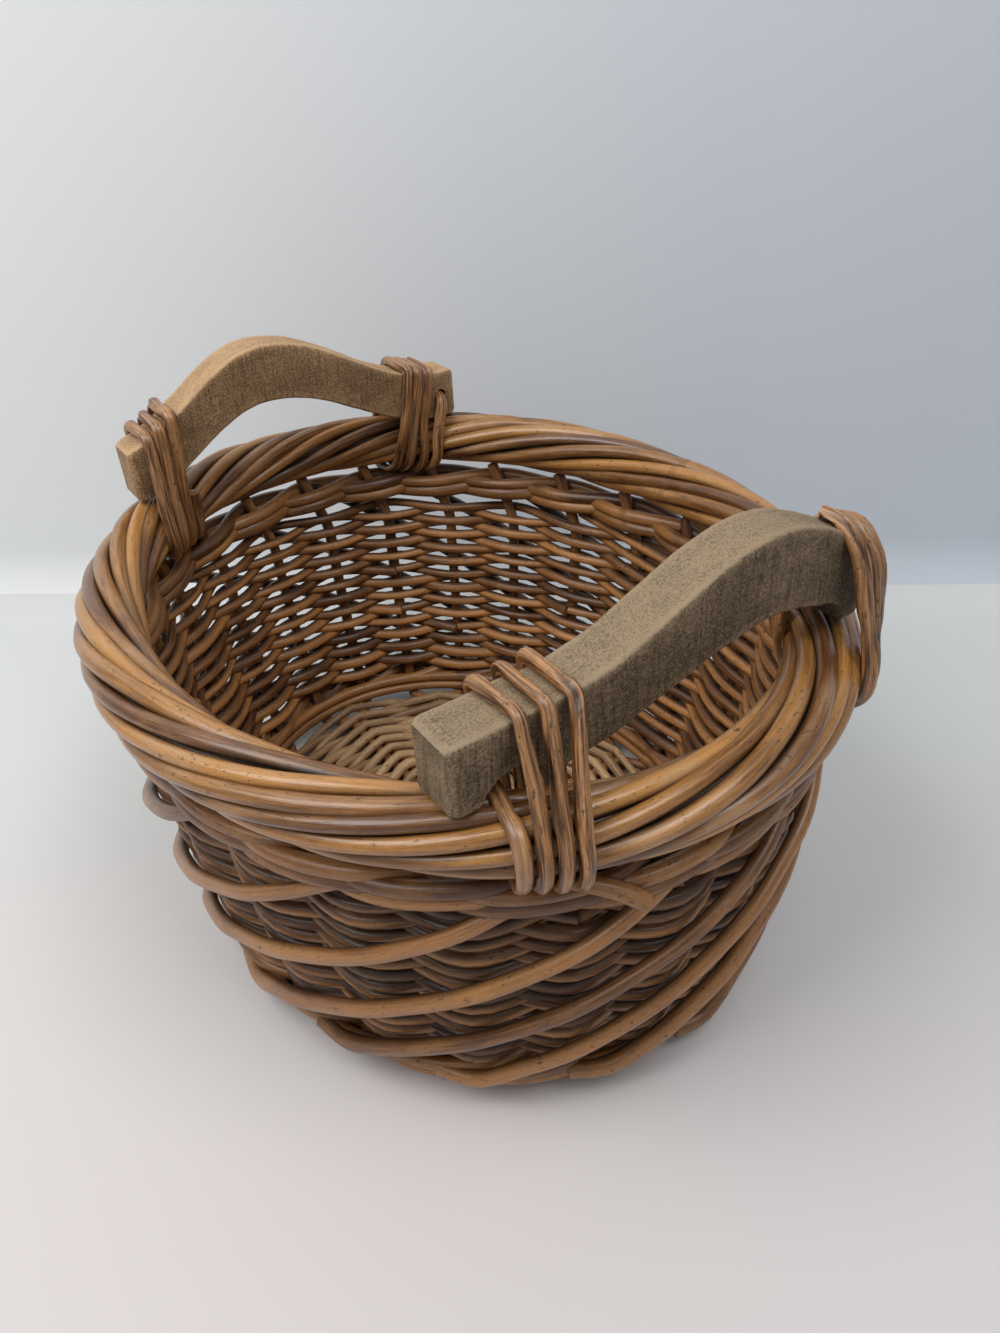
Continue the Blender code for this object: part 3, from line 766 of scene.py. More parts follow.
# The wall
class BASKET_OT_wall(bpy.types.Operator):
    """Adds the woven rows of the wall, which three strands wind up side by side"""

    bl_idname = "basket.wall"
    bl_label = "Woven wall"

    strands = 3
    rod_stations = (19, 29)
    bite = 0.0007
    unevenness = 0.0006
    start_tuck = 0.0020
    thinnest, thicker_by_chance, thicker_low_down = 0.88, 0.20, 0.22

    def execute(self, context):
        s, c = sizes(), colours()
        willow = willow_material("wall willow", c.wall_dark, c.wall_light, c.wale_light,
                                 dustiness=0.10, bark=0.50, gloss=0.55)
        climb = s.row_pitch * self.strands / stake_count
        offset = s.stake_radius + s.weaver_radius - self.bite
        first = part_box("wall_rod_1")[0].z + s.weaver_radius
        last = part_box(f"wall_rod_{wall_rod_count}")[1].z - s.weaver_radius
        stations = int(round((last - first) / climb)) + 1
        bands = [Bundle(f"woven_band_{number + 1}", 7) for number in range(wall_rod_count)]
        chance = np.random.default_rng(17)
        for strand in range(self.strands):
            start = 0
            piece = 0
            while start < stations - 2:
                stop = min(start + int(chance.integers(*self.rod_stations)), stations)
                points = []
                for number in range(start, stop):
                    azimuth = number + strand * (stake_count // self.strands)
                    height = first + number * climb
                    lift = noise.noise(Vector((azimuth * 0.37, strand * 9.1 + height * 300, 3.3)))
                    out = over_or_under(azimuth + azimuth // stake_count + strand) * offset
                    if number == start:
                        out -= self.start_tuck
                    points.append(wall_point(stake_angle(azimuth), height + self.unevenness * lift, out))
                middle = (start + stop) / 2
                band = bands[min(int(middle / (stations / wall_rod_count)), wall_rod_count - 1)]
                girth = self.thinnest + self.thicker_by_chance * chance.random()
                girth = s.weaver_radius * (girth + self.thicker_low_down * (1 - middle / stations))
                band.add(smooth_path(points, step=0.0075), girth, 1000 + strand * 100 + piece, taper=0.28,
                         rough=0.06, openness=self.openness)
                start = stop - 1
                piece += 1
        for number, band in enumerate(bands):
            settle(band.object(willow), "wall_willow", f"wall_rod_{number + 1}")
        return {"FINISHED"}

    def openness(self, places, around):
        """Painted shade darkens each rod above and below, where it meets the next rows, and most on the
        outside of the wall.
        """
        outside = np.clip(facing_out(places, around) * 2, 0, 1)
        return np.clip(1.20 - 0.90 * around[..., 2]**2 - 0.50 * outside, 0, 1)


class BASKET_OT_wales(bpy.types.Operator):
    """Adds the rounds of thicker rods at the foot and under the border"""

    bl_idname = "basket.wales"
    bl_label = "Wales"

    strands = 3
    strand_rise = 0.0019
    loose_out, loose_up = 0.0010, 0.0008
    cut_end_angle = -math.pi / 2 - 0.33
    cut_end_places = ((-0.09, 0.006, 0.008), (0.0, 0.002, 0.013), (0.06, -0.004, 0.017))

    def execute(self, context):
        s, c = sizes(), colours()
        willow = willow_material("wale willow", c.wale_dark, c.wale_light, c.border_light,
                                 dustiness=0.20, bark=0.5, gloss=0.60)
        offset = s.stake_radius + s.wale_radius
        for prefix, thickness, seed in (("foot_wale_rod", 1.0, 713), ("top_wale_rod", 1.12, 712)):
            for number in range(2):
                name = f"{prefix}_{number + 1}"
                low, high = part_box(name)
                height = (low.z + high.z) / 2
                wale = Bundle("willow_" + name, 10)
                for strand in range(self.strands):
                    points = self.strand_points(strand, number, height, offset)
                    points = smooth_path(points, step=0.005, closed=True)
                    girth = s.wale_radius * (thickness + 0.08 * math.sin(strand * 2.6))
                    wale.add(points, girth, seed + number * 11 + strand * 3, closed=True, rough=0.14)
                if prefix == "foot_wale_rod":
                    angles = [stake_angle(place / 2) for place in range(2 * stake_count)]
                    inside = smooth_path([wall_point(angle, height, -offset) for angle in angles],
                                         step=0.006, closed=True)
                    wale.add(inside, s.wale_radius, 741 + number, closed=True, rough=0.14)
                if name == "top_wale_rod_2":
                    self.add_cut_end(wale, height)
                settle(wale.object(willow), "wall_willow", name)
        return {"FINISHED"}

    def strand_points(self, strand, number, height, offset):
        """Places of a strand that passes outside two uprights and then inside one, all the way round."""
        points = []
        for index in range(stake_count):
            phase = (index - strand - number) % self.strands
            out = (offset, offset, -offset)[phase]
            rise = (-self.strand_rise, self.strand_rise, 0.0)[phase]
            out += self.loose_out * noise.noise(Vector((index * 0.9, strand * 4.1, number * 2.3)))
            rise += self.loose_up * noise.noise(Vector((index * 0.7, strand * 5.3, number * 4.7 + 9.0)))
            points.append(wall_point(stake_angle(index) + leaning(height), height + rise, out))
        return points

    def add_cut_end(self, wale, height):
        """The cut end of a rod that stands out of the wale beside the near lashing."""
        points = [wall_point(self.cut_end_angle + aside, height + rise, out)
                  for aside, rise, out in self.cut_end_places]
        wale.add(smooth_path(points, step=0.004), sizes().wale_radius * 1.1, 977, tone=0.7, rough=0.08)


class BASKET_OT_climbers(bpy.types.Operator):
    """Adds the long rods that climb round the outside and tuck in under the border"""

    bl_idname = "basket.climbers"
    bl_label = "Climbing rods"

    bays = 5
    foot_bays, foot_drop, foot_tuck = 0.45, 0.003, 0.0040
    end_bays, end_rise, end_tuck = 0.35, 0.0040, 0.0115
    tuck_bays, tuck_depth = 1.3, 0.0070
    sway = 0.0050
    sag = 0.0005

    def execute(self, context):
        s, c = sizes(), colours()
        willow = willow_material("climber willow", c.wale_dark, c.wale_light, c.border_light,
                                 dustiness=0.10, bark=0.45, gloss=0.68)
        for number in range(climbing_rod_count):
            name = f"climbing_rod_{number + 1:02d}"
            low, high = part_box(name)
            points = self.rod_points(number, low.z + s.climbing_radius, high.z - s.climbing_radius)
            rod = Bundle("willow_" + name, 10)
            rod.add(smooth_path(points, step=0.005), s.climbing_radius, 500 + number, taper=0.20, rough=0.06,
                    openness=self.openness)
            settle(rod.object(willow), "border_willow", name)
        return {"FINISHED"}

    def rod_points(self, number, foot, top):
        """Places of a rod that starts at the foot, leans against the wall and ends behind the border."""
        s = sizes()
        hug = s.stake_radius + 2 * s.weaver_radius + s.climbing_radius
        start = number * stake_count / climbing_rod_count
        foot_angle = stake_angle(start - self.foot_bays)
        points = [wall_point(foot_angle, foot - self.foot_drop, hug - self.foot_tuck)]
        for step in range(2 * self.bays + 1):
            bay = step / 2
            lift = self.sway * noise.noise(Vector((bay * 0.30, number * 3.7, 0.5)))
            lift *= math.sin(math.pi * bay / self.bays)
            height = foot + (top - foot) * bay / self.bays + lift
            at_stake = math.cos(math.tau * (start + bay)) * 0.5 + 0.5
            tuck = min(max((bay - (self.bays - self.tuck_bays)) / self.tuck_bays, 0.0), 1.0)
            out = hug - self.sag * (1 - at_stake) - self.tuck_depth * tuck**2
            points.append(wall_point(stake_angle(start + bay), height, out))
        end_angle = stake_angle(start + self.bays + self.end_bays)
        points.append(wall_point(end_angle, top + self.end_rise, hug - self.end_tuck))
        return points

    def openness(self, places, around):
        """Painted shade darkens the side of a rod that lies against the wall, and its underside."""
        underneath = around[..., 2] < -0.3
        return np.clip(0.65 + 0.8 * facing_out(places, around) - 0.35 * underneath, 0, 1)


# The border
def border_place(angle, turned, radius):
    """A place beside the border's middle line, at an angle round the mouth and one round the line."""
    s = sizes()
    x = (s.rim_half_width + radius * math.cos(turned)) * math.cos(angle)
    y = (s.rim_half_length + radius * math.cos(turned)) * math.sin(angle)
    return np.array([x, y, s.rim_height + radius * math.sin(turned)])


class BASKET_OT_border(bpy.types.Operator):
    """Adds the rolled border: the rods wound round the rim, and its core"""

    bl_idname = "basket.border"
    bl_label = "Rolled border"

    turns = 3
    places = 240
    core_gap = 0.0016
    swing, swing_start = 0.42, math.radians(80)
    wobbles = ((0.06, 3, 1.9), (0.04, 7, 2.7))
    bulges = ((0.0005, 4, 2.3), (0.0003, 9, 1.0))

    def execute(self, context):
        s, c = sizes(), colours()
        willow = willow_material("border willow", c.border_dark, c.border_light, c.border_worn_and_sheen,
                                 dustiness=0.14, bark=0.4, gloss=0.90)
        angles = np.linspace(0, math.tau, self.places, endpoint=False)
        core = Bundle("willow_border_core", 10)
        # The core is darkened almost all over with painted shade, as it lies inside the rods.
        core.add([border_place(angle, 0, 0) for angle in angles[::2]], border_circle - self.core_gap, 3,
                 closed=True, openness=lambda places, around: np.full(places.shape[:2], 0.05))
        settle(core.object(willow), "stake_willow", "border_core")
        for index in range(border_rod_count):
            points = [self.rod_place(index, angle) for angle in angles]
            rod = Bundle(f"willow_border_rod_{index + 1}", 14)
            girth = s.border_rod_radius * (1 + 0.07 * math.sin(index * 2.4))
            rod.add(points, girth, 60 + index * 3, tone=0.5 + 0.5 * math.sin(index * 2.1), closed=True,
                    openness=self.openness, rough=0.09)
            settle(rod.object(willow), "border_willow", f"border_rod_{index + 1}")
        return {"FINISHED"}

    def rod_place(self, index, angle):
        """A place on a rod that winds round the rim, a little unevenly."""

        def waves(plans, level):
            """The level with each plan's wave added, from its size, its count round the rim and its shift."""
            for size, count, shift in plans:
                level += size * math.sin(count * angle + index * shift)
            return level

        turned = index * math.tau / border_rod_count + self.turns * angle
        turned += self.swing * math.sin(angle - self.swing_start)
        return border_place(angle, turned + waves(self.wobbles, 0.0), waves(self.bulges, border_circle))

    def openness(self, places, around):
        """Painted shade darkens the sides of a rod that face the middle of the border."""
        s = sizes()
        angle = np.arctan2(places[..., 1] / s.rim_half_length, places[..., 0] / s.rim_half_width)
        middle = np.stack([
            s.rim_half_width * np.cos(angle),
            s.rim_half_length * np.sin(angle),
            np.full(angle.shape, s.rim_height),
        ], -1)
        out = places - middle
        out /= np.linalg.norm(out, axis=-1)[..., None]
        return np.clip(((around * out).sum(-1) - 0.15) / 0.55, 0, 1)


# The handles
handle_length = 0.204
handle_stations = 137
end_rounding = (0.0016, 0.0007, 0.0002, 0.0)
corner_radius, corner_wear = 0.0015, 0.0007
broad_hollows, fine_hollows, planed_off = 0.00045, 0.00020, 0.0002
notch_radius, notch_lift = 0.014, 0.004
end_arch_length = 0.015
tie_hole_radius = 0.0034
tie_hole_x = handle_length / 2 - 0.010

# Each board's distance from the middle, its depth, how far its top and underside rise at the crest,
# where the bow starts and ends, where its notches are, and where the short arch at its end begins.
front_bow = {
    "node": "front_handle", "side": -1, "distance": 0.1515, "depth": 0.030, "top": 0.026, "under": 0.019,
    "crest": 0.044, "left": -0.055, "right": 0.125, "notches": (-0.0770,), "end_arch": 0.075,
}
back_bow = {
    "node": "back_handle", "side": 1, "distance": 0.1566, "depth": 0.029, "top": 0.039, "under": 0.037,
    "crest": -0.019, "left": -0.108, "right": 0.090, "notches": (-0.0690, 0.0690), "end_arch": 0.102,
}


def handle_seat(shape):
    """Height of the plain solid's lowest face, which lies on the border."""
    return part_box(shape["node"])[0].z


def bow(x, shape, rise):
    """Height of a smooth bow at x, which rises to its crest and falls to nothing at both feet."""
    foot = shape["left"] if x < shape["crest"] else shape["right"]
    share = min(abs(x - shape["crest"]) / abs(foot - shape["crest"]), 1.0)
    return rise * 0.5 * (1 + math.cos(math.pi * share))


def notch_height(x, notches):
    """Height of the round notches that the lashings lie in."""
    aside = min(abs(x - centre) for centre in notches)
    if aside >= notch_radius:
        return 0.0
    return max(math.sqrt(notch_radius**2 - aside**2) - notch_lift, 0.0)


def underside_bow(shape, x):
    """The bow of the underside, and the short arch that ends it where a plain end stands on the border."""
    if x <= shape["end_arch"]:
        return bow(x, shape, shape["under"])
    share = min((x - shape["end_arch"]) / end_arch_length, 1.0)
    return bow(shape["end_arch"], shape, shape["under"]) * math.sqrt(1 - share**2)


def handle_span(shape, x):
    """Underside and top of a handle at x."""
    seat = handle_seat(shape)
    under = seat + max(underside_bow(shape, x), notch_height(x, shape["notches"]))
    return under, seat + shape["depth"] + bow(x, shape, shape["top"])


def rounded_section(low, high, half, corner, count=5, across=8, upright=12):
    """Corner-rounded outline of the board at one place along it, with how near each point is to an edge."""
    middle_z, half_z = (low + high) / 2, (high - low) / 2
    centres = (
        (half - corner, half_z - corner, 0),
        (-half + corner, half_z - corner, 1),
        (-half + corner, -half_z + corner, 2),
        (half - corner, -half_z + corner, 3),
    )
    points, worn = [], []
    for number, (y, z, quarter) in enumerate(centres):
        for step in range(count):
            angle = (quarter + step / (count - 1)) * math.pi / 2
            points.append((y + corner * math.cos(angle), middle_z + z + corner * math.sin(angle)))
            worn.append(1.0)
        next_y, next_z, next_quarter = centres[(number + 1) % 4]
        start = points[-1]
        angle = next_quarter * math.pi / 2
        end = (next_y + corner * math.cos(angle), middle_z + next_z + corner * math.sin(angle))
        gaps = across if number % 2 == 0 else upright
        for step in range(1, gaps):
            share = step / gaps
            points.append((start[0] + (end[0] - start[0]) * share, start[1] + (end[1] - start[1]) * share))
            worn.append(max(0.0, 1 - min(share, 1 - share) * gaps * 0.9))
    return points, worn


def carved_handle(shape, material):
    """The board swept from end to end, with worn corners and the small hollows of hand carving."""
    stations = np.linspace(-handle_length / 2, handle_length / 2, handle_stations).tolist()
    half = sizes().handle_thickness / 2
    vertices, faces, edge, rings = [], [], [], []
    for number, x in enumerate(stations):
        low, high = handle_span(shape, x)
        from_end = min(number, len(stations) - 1 - number)
        shrink = end_rounding[min(from_end, 3)]
        corner = corner_radius + corner_wear * noise.noise(Vector((x * 30, shape["distance"] * 9, 1.0)))
        points, worn = rounded_section(low + shrink, high - shrink, half - shrink, corner)
        ring = []
        for (y, z), rubbed in zip(points, worn):
            place = Vector((x, shape["side"] * shape["distance"] + y, z))
            hollow = broad_hollows * noise.noise(place * 55) + fine_hollows * noise.noise(place * 210)
            inward = Vector((0, -y, (low + high) / 2 - z)).normalized()
            place += inward * (hollow + planed_off)
            ring.append(len(vertices))
            vertices.append(place)
            edge.append(1.0 if from_end < 2 else rubbed)
        rings.append(ring)
    size = len(rings[0])
    for here, there in zip(rings, rings[1:]):
        for corner in range(size):
            beside = (corner + 1) % size
            faces.append((here[corner], there[corner], there[beside], here[beside]))
    faces.append(tuple(rings[0]))
    faces.append(tuple(reversed(rings[-1])))
    name = "carved_" + shape["node"]
    mesh = bpy.data.meshes.new(name)
    mesh.from_pydata(vertices, [], faces)
    mesh.attributes.new("edge", "FLOAT", "POINT").data.foreach_set("value", edge)
    return finished_object(name, mesh, material, 45)


def bore_tie_hole(handle):
    """Cuts the hole that the end of the lashing rod passes through."""
    outline = bmesh.new()
    bmesh.ops.create_cone(outline, cap_ends=True, segments=28, radius1=tie_hole_radius,
                          radius2=tie_hole_radius, depth=0.06)
    drill_mesh = bpy.data.meshes.new("drill")
    outline.to_mesh(drill_mesh)
    outline.free()
    drill = placed_object("drill", drill_mesh)
    place = Vector((tie_hole_x, back_bow["distance"], handle_seat(back_bow) + back_bow["depth"] / 2))
    drill.matrix_world = Matrix.Translation(place) @ Matrix.Rotation(math.pi / 2, 4, "X")
    cut = handle.modifiers.new("tie hole", "BOOLEAN")
    cut.operation = "DIFFERENCE"
    cut.solver = "EXACT"
    cut.object = drill
    bpy.context.view_layer.update()
    evaluated = handle.evaluated_get(bpy.context.evaluated_depsgraph_get())
    bored = bpy.data.meshes.new_from_object(evaluated)
    handle.modifiers.clear()
    handle.data = bored
    bpy.data.objects.remove(drill, do_unlink=True)


class BASKET_OT_handles(bpy.types.Operator):
    """Adds the two carved wooden handles"""

    bl_idname = "basket.handles"
    bl_label = "Handles"

    def execute(self, context):
        c = colours()
        front = wood_material("weathered wood 1", 0.0, c.wood_dark, c.wood_light)
        settle(carved_handle(front_bow, front), "handle_wood", "front_handle")
        back = wood_material("weathered wood 2", 0.37, c.brown_wood_dark, c.brown_wood_light)
        back_handle = carved_handle(back_bow, back)
        bore_tie_hole(back_handle)
        settle(back_handle, "handle_wood", "back_handle")
        return {"FINISHED"}


# The lashings
lashing_bend = 0.0020
lashing_clearance = 0.0006
lashing_seat = 0.75
ring_points = 14
tucked_end_in, tucked_end_up = 0.0095, 0.0075
tie_end_length = 0.008

# Where the first turn passes under the border and over the handle, how far apart the turns are at both,
# how far they lean along X, and how loosely the rod bends round the handle's edges and its corners.
lashing_plans = {
    "front_left_lashing": {
        "shape": front_bow, "turns": 4, "first": -0.0615, "pitch": 0.0060,
        "first_top": -0.0530, "top_pitch": 0.0112, "lean": -0.5,
    },
    "front_right_lashing": {
        "shape": front_bow, "turns": 3, "first": 0.0960, "pitch": 0.0066,
        "first_top": 0.0985, "top_pitch": 0.0068, "lean": 0.0, "soft": 0.0110, "rounding": 0.0170,
    },
    "back_left_lashing": {
        "shape": back_bow, "turns": 4, "first": -0.0737, "pitch": 0.0068,
        "first_top": -0.0760, "top_pitch": 0.0074, "lean": 0.0,
    },
    "back_right_lashing": {
        "shape": back_bow, "turns": 4, "first": 0.0824, "pitch": 0.0066,
        "first_top": 0.0824, "top_pitch": 0.0066, "lean": 0.0,
    },
}


def cross_turn(first, second, third):
    """Positive where the way from first to second to third turns left."""
    return (second[0] - first[0]) * (third[1] - first[1]) - (second[1] - first[1]) * (third[0] - first[0])


def tight_outline(points):
    """The points of the tight outline round all of them, in order round it."""
    ordered = sorted(points)
    chains = []
    for run in (ordered, ordered[::-1]):
        kept = []
        for point in run:
            while len(kept) > 1 and cross_turn(kept[-2], kept[-1], point) <= 0:
                kept.pop()
            kept.append(point)
        chains += kept[:-1]
    return chains


def rim_distance(x):
    """How far out along Y the border's middle line lies at x."""
    s = sizes()
    return s.rim_half_length * math.sqrt(1 - (x / s.rim_half_width)**2)


def border_ring(x, lean):
    """Places round the border in an upright plane that meets its middle line at x and leans along X."""
    s = sizes()
    middle = rim_distance(x)
    outward = Vector((x / s.rim_half_width**2, middle / s.rim_half_length**2)).normalized()
    along = Vector((lean, 1)).normalized()
    stretch = 1 / outward.dot(along)
    reach = border_circle + s.border_rod_radius + s.lashing_radius + lashing_clearance
    ring = []
    for step in range(ring_points):
        around = (step + 0.5) * math.pi / (ring_points / 2)
        out = stretch * reach * math.cos(around)
        ring.append((middle + out * along.y, s.rim_height + reach * math.sin(around), x + out * along.x))
    return ring


def handle_corners(top_x, ring_x, plan, outward):
    """A lashing rod's places on one face of a handle: at top_x over its top, and at its foot."""
    shape, soft = plan["shape"], plan.get("soft", lashing_bend)
    s = sizes()
    around = s.lashing_radius * lashing_seat
    crown = max(handle_span(shape, top_x + across)[1] for across in (-s.lashing_radius, s.lashing_radius))
    face = shape["distance"] + outward * (s.handle_thickness / 2 + around)
    if outward > 0:
        face += (soft - lashing_bend) * 0.5
    return [
        (face - outward * soft, crown + around, top_x),
        (face, crown + around - soft, top_x),
        (face, handle_seat(shape), ring_x + plan["lean"] * (face - rim_distance(ring_x))),
    ]


def lashing_turn(plan, number, last):
    """One turn: down the inner face of the handle, under the border and up the outer face."""
    x = plan["first"] - number * plan["pitch"]
    before = plan["first_top"] - (number - 1) * plan["top_pitch"]
    after = plan["first_top"] - number * plan["top_pitch"]
    inner = handle_corners(before, x, plan, -1)
    outer = handle_corners(after, x, plan, 1)
    ring = border_ring(x, plan["lean"])
    outline = tight_outline(inner + ring if last else inner + outer + ring)
    first = outline.index(inner[0])
    outline = outline[first:] + outline[:first]
    if last:
        height = sizes().rim_height + border_circle + tucked_end_up
        outline.append((inner[2][0] + tucked_end_in, height, x))
    return outline


def lashing_path(name, plan):
    """The whole rod, turn by turn, as places at a distance out, a height and an x."""
    path = []
    for number in range(plan["turns"]):
        path += lashing_turn(plan, number, name == "front_left_lashing" and number == plan["turns"] - 1)
    path = path[2:]
    shape = plan["shape"]
    if name == "front_right_lashing":
        last_top = plan["first_top"] - (plan["turns"] - 1) * plan["top_pitch"]
        path.append(handle_corners(last_top, last_top, plan, -1)[0])
    elif name == "back_right_lashing":
        hole_z = handle_seat(shape) + shape["depth"] / 2
        reach = sizes().handle_thickness / 2
        tail = [
            (shape["distance"] + reach + tie_end_length, hole_z, tie_hole_x),
            (shape["distance"] - reach - sizes().lashing_radius, hole_z, tie_hole_x),
        ]
        path = tail + path[:-2]
    elif name == "back_left_lashing":
        path = path[:-2]
    return path


def rounded_path(points, radius, step):
    """The path with each corner cut to a curve, as places about one step apart."""
    points = [np.asarray(point, float) for point in points]
    places = [points[0]]
    for before, corner, after in zip(points, points[1:], points[2:]):
        back, on = before - corner, after - corner
        reach = min(radius, np.linalg.norm(back) / 2, np.linalg.norm(on) / 2)
        start = corner + back / max(np.linalg.norm(back), 1e-9) * reach
        end = corner + on / max(np.linalg.norm(on), 1e-9) * reach
        for share in (0.0, 0.33, 0.67, 1.0):
            places.append(start * (1 - share)**2 + corner * 2 * share * (1 - share) + end * share**2)
    places.append(points[-1])
    spaced = [places[0]]
    for here, there in zip(places, places[1:]):
        gap = np.linalg.norm(there - here)
        if gap < 0.0004:
            continue
        count = int(gap / step) + 1
        for number in range(1, count + 1):
            spaced.append(here + (there - here) * number / count)
    return np.array(spaced)


class BASKET_OT_lashings(bpy.types.Operator):
    """Adds the four rods wound round the handles' ends and the border"""

    bl_idname = "basket.lashings"
    bl_label = "Lashings"

    def execute(self, context):
        s, c = sizes(), colours()
        willow = willow_material("lashing willow", c.lashing_dark, c.lashing_light, c.border_worn_and_sheen,
                                 dustiness=0.15, bark=0.55, gloss=0.75, depth=0.0006, streaks=2.2)
        for order, (name, plan) in enumerate(lashing_plans.items()):
            side = plan["shape"]["side"]
            path = [np.array([x, side * out, height]) for out, height, x in lashing_path(name, plan)]
            path = rounded_path(path, plan.get("rounding", 0.0075), 0.0022)
            length = length_along(path)
            for axis in range(3):
                path[:, axis] += 0.0008 * wander(order * 3.3 + axis * 11.1, length, 40.0)
            rod = Bundle("willow_" + name, 18)
            rod.add(path, s.lashing_radius * 1.05, 900 + order * 7, tone=0.55, taper=0.12, rough=0.14,
                    split=0.50, flat=0.14)
            settle(rod.object(willow), "lashing_willow", name)
        return {"FINISHED"}


# The studio
photo_width, photo_height = 1000, 1333
sensor_width = 36.0
focal_pixels = 966.2
camera_place = Vector((-0.2134, -0.3613, 0.4276))
camera_azimuth, camera_elevation, camera_roll = (math.radians(value) for value in (-33.8, 35.2, -3.0))
floor_end_left, floor_end_right = (0, 600), (1000, 590)
sweep_reach = 3.0
backdrop_height = 2.5
cove_radius = 0.05
cove_steps = 8
lamps = (
    {"name": "window", "place": (-0.8, 0.1, 1.25), "size": 0.9, "power": 12.5, "colour": (1.0, 0.98, 0.95)},
    {"name": "ceiling", "place": (0.10, -0.65, 1.5), "size": 0.7, "power": 8.5, "colour": (1.0, 0.99, 0.97)},
)
lamp_aim = Vector((0, 0, 0.12))
air_colour = (0.96, 0.98, 1.0)
air_strength = 0.34


def camera_axes():
    """The camera's right, up and back directions."""
    back = Vector((
        math.sin(camera_azimuth) * math.cos(camera_elevation),
        -math.cos(camera_azimuth) * math.cos(camera_elevation),
        math.sin(camera_elevation),
    ))
    right = (-back).cross(Vector((0, 0, 1))).normalized()
    up = right.cross(-back)
    turned_right = right * math.cos(camera_roll) + up * math.sin(camera_roll)
    turned_up = -right * math.sin(camera_roll) + up * math.cos(camera_roll)
    return turned_right, turned_up, back


def floor_place(x, y):
    """The floor under a place in the photograph's frame."""
    right, up, back = camera_axes()
    ray = -back + right * (x - photo_width / 2) / focal_pixels - up * (y - photo_height / 2) / focal_pixels
    return camera_place + ray * (camera_place.z / -ray.z)


def fading_material(name, colour, other_colour, direction, start, end):
    """A plain surface whose colour changes along a direction, between two distances from the origin."""
    material = bpy.data.materials.new(name)
    material.use_nodes = True
    tree = material.node_tree
    shader = tree.nodes["Principled BSDF"]
    shader.inputs["Roughness"].default_value = 0.9
    shader.inputs["Specular IOR Level"].default_value = 0.1
    reach = node(tree, "ShaderNodeVectorMath", operation="DOT_PRODUCT")
    feed(tree, reach.inputs[0], node(tree, "ShaderNodeNewGeometry").outputs["Position"])
    feed(tree, reach.inputs[1], direction)
    share = between(tree, reach.outputs["Value"], start, end)
    feed(tree, shader.inputs["Base Color"], mixed(tree, share, opaque(colour), opaque(other_colour)))
    return material


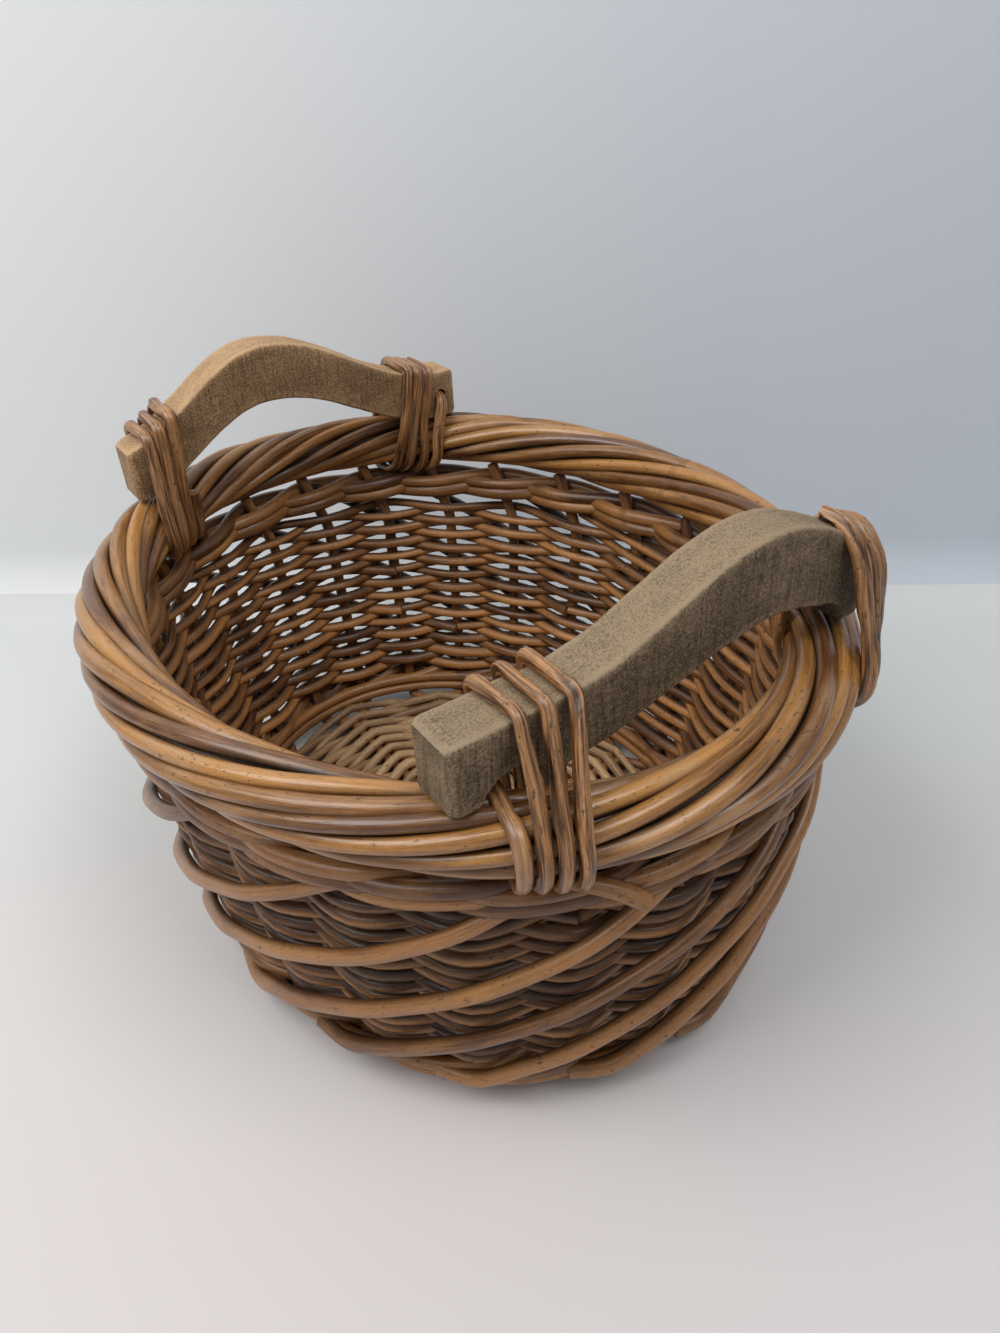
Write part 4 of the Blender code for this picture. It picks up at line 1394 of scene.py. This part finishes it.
class BASKET_OT_stage(bpy.types.Operator):
    """Adds the camera, the lamps, the floor and the backdrop"""

    bl_idname = "basket.stage"
    bl_label = "Studio"

    def execute(self, context):
        self.add_camera(context)
        self.add_sweep()
        self.add_lamps(context)
        return {"FINISHED"}

    def add_camera(self, context):
        camera = bpy.data.cameras.new("photograph")
        camera.sensor_fit = "AUTO"
        camera.sensor_width = sensor_width
        camera.lens = focal_pixels * sensor_width / photo_height
        camera.clip_start, camera.clip_end = 0.01, 20.0
        eye = placed_object("photograph", camera)
        turn = Matrix(camera_axes()).transposed().to_4x4()
        eye.matrix_world = Matrix.Translation(camera_place) @ turn
        context.scene.camera = eye

    def add_sweep(self):
        """The floor, and the backdrop that rises behind it along the line seen in the photograph."""
        left, right = floor_place(*floor_end_left), floor_place(*floor_end_right)
        along = (right - left).normalized()
        behind = Vector((0, 0, 1)).cross(along)
        middle = (left + right) / 2
        profile = [(-sweep_reach, 0.0), (-cove_radius, 0.0)]
        for step in range(1, cove_steps + 1):
            angle = step / cove_steps * math.pi / 2
            distance = -cove_radius + cove_radius * math.sin(angle)
            profile.append((distance, cove_radius * (1 - math.cos(angle))))
        profile.append((0.0, backdrop_height))
        vertices, faces = [], []
        for distance, height in profile:
            for reach in (-sweep_reach, sweep_reach):
                vertices.append(middle + along * reach + behind * distance + Vector((0, 0, height)))
        for step in range(len(profile) - 1):
            faces.append((2 * step, 2 * step + 1, 2 * step + 3, 2 * step + 2))
        mesh = bpy.data.meshes.new("studio_sweep")
        mesh.from_pydata(vertices, [], faces)
        c = colours()
        floor_fade = (-0.25, middle.dot(behind) - 0.10)
        # The backdrop fades from left to right into painted shade.
        backdrop_fade = (left.dot(along), right.dot(along))
        mesh.materials.append(fading_material("studio floor", c.floor, c.far_floor, behind, *floor_fade))
        mesh.materials.append(
            fading_material("studio backdrop", c.backdrop, c.shaded_backdrop, along, *backdrop_fade))
        self.clear_from_behind(mesh.materials[1])
        for face in mesh.polygons:
            face.material_index = 0 if face.index <= cove_steps / 2 else 1
        mesh.shade_smooth()
        placed_object("studio_sweep", mesh)

    def clear_from_behind(self, material):
        """Lets a view from behind the backdrop through to the basket."""
        tree = material.node_tree
        behind = node(tree, "ShaderNodeNewGeometry").outputs["Backfacing"]
        choice = node(tree, "ShaderNodeMixShader")
        feed(tree, choice.inputs["Fac"], behind)
        feed(tree, choice.inputs[1], tree.nodes["Principled BSDF"].outputs["BSDF"])
        feed(tree, choice.inputs[2], node(tree, "ShaderNodeBsdfTransparent").outputs["BSDF"])
        feed(tree, tree.nodes["Material Output"].inputs["Surface"], choice.outputs["Shader"])

    def add_lamps(self, context):
        for plan in lamps:
            lamp = bpy.data.lights.new(plan["name"], "AREA")
            lamp.energy = plan["power"]
            lamp.size = plan["size"]
            lamp.color = plan["colour"]
            holder = placed_object(plan["name"], lamp)
            holder.location = plan["place"]
            aim = lamp_aim - Vector(plan["place"])
            holder.rotation_euler = aim.to_track_quat("-Z", "Y").to_euler()
        world = bpy.data.worlds.new("studio air")
        world.use_nodes = True
        air = world.node_tree.nodes["Background"]
        air.inputs["Color"].default_value = opaque(air_colour)
        air.inputs["Strength"].default_value = air_strength
        context.scene.world = world
        context.scene.view_settings.view_transform = "Standard"


class BASKET_PT_panel(bpy.types.Panel):
    """Lists the sizes, the colours and the pieces of the basket in the sidebar"""

    bl_idname = "BASKET_PT_panel"
    bl_label = "Wicker basket"
    bl_space_type = "VIEW_3D"
    bl_region_type = "UI"
    bl_category = "Basket"

    def draw(self, context):
        for group in (context.scene.basket_sizes, context.scene.basket_colours):
            for name in group.__annotations__:
                self.layout.prop(group, name)
        for operator in operators:
            self.layout.operator(operator.bl_idname)


operators = (
    BASKET_OT_stage,
    BASKET_OT_stakes,
    BASKET_OT_base,
    BASKET_OT_wall,
    BASKET_OT_wales,
    BASKET_OT_climbers,
    BASKET_OT_border,
    BASKET_OT_handles,
    BASKET_OT_lashings,
)
classes = (BasketSizes, BasketColours, *operators, BASKET_PT_panel)


def register():
    for made in classes:
        bpy.utils.register_class(made)
    bpy.types.Scene.basket_sizes = bpy.props.PointerProperty(type=BasketSizes)
    bpy.types.Scene.basket_colours = bpy.props.PointerProperty(type=BasketColours)


def unregister():
    del bpy.types.Scene.basket_colours
    del bpy.types.Scene.basket_sizes
    for made in reversed(classes):
        bpy.utils.unregister_class(made)


def main():
    register()
    bpy.ops.basket.stage()
    bpy.ops.basket.stakes()
    bpy.ops.basket.base()
    bpy.ops.basket.wall()
    bpy.ops.basket.wales()
    bpy.ops.basket.climbers()
    bpy.ops.basket.border()
    bpy.ops.basket.handles()
    bpy.ops.basket.lashings()


if __name__ == "__main__":
    main()
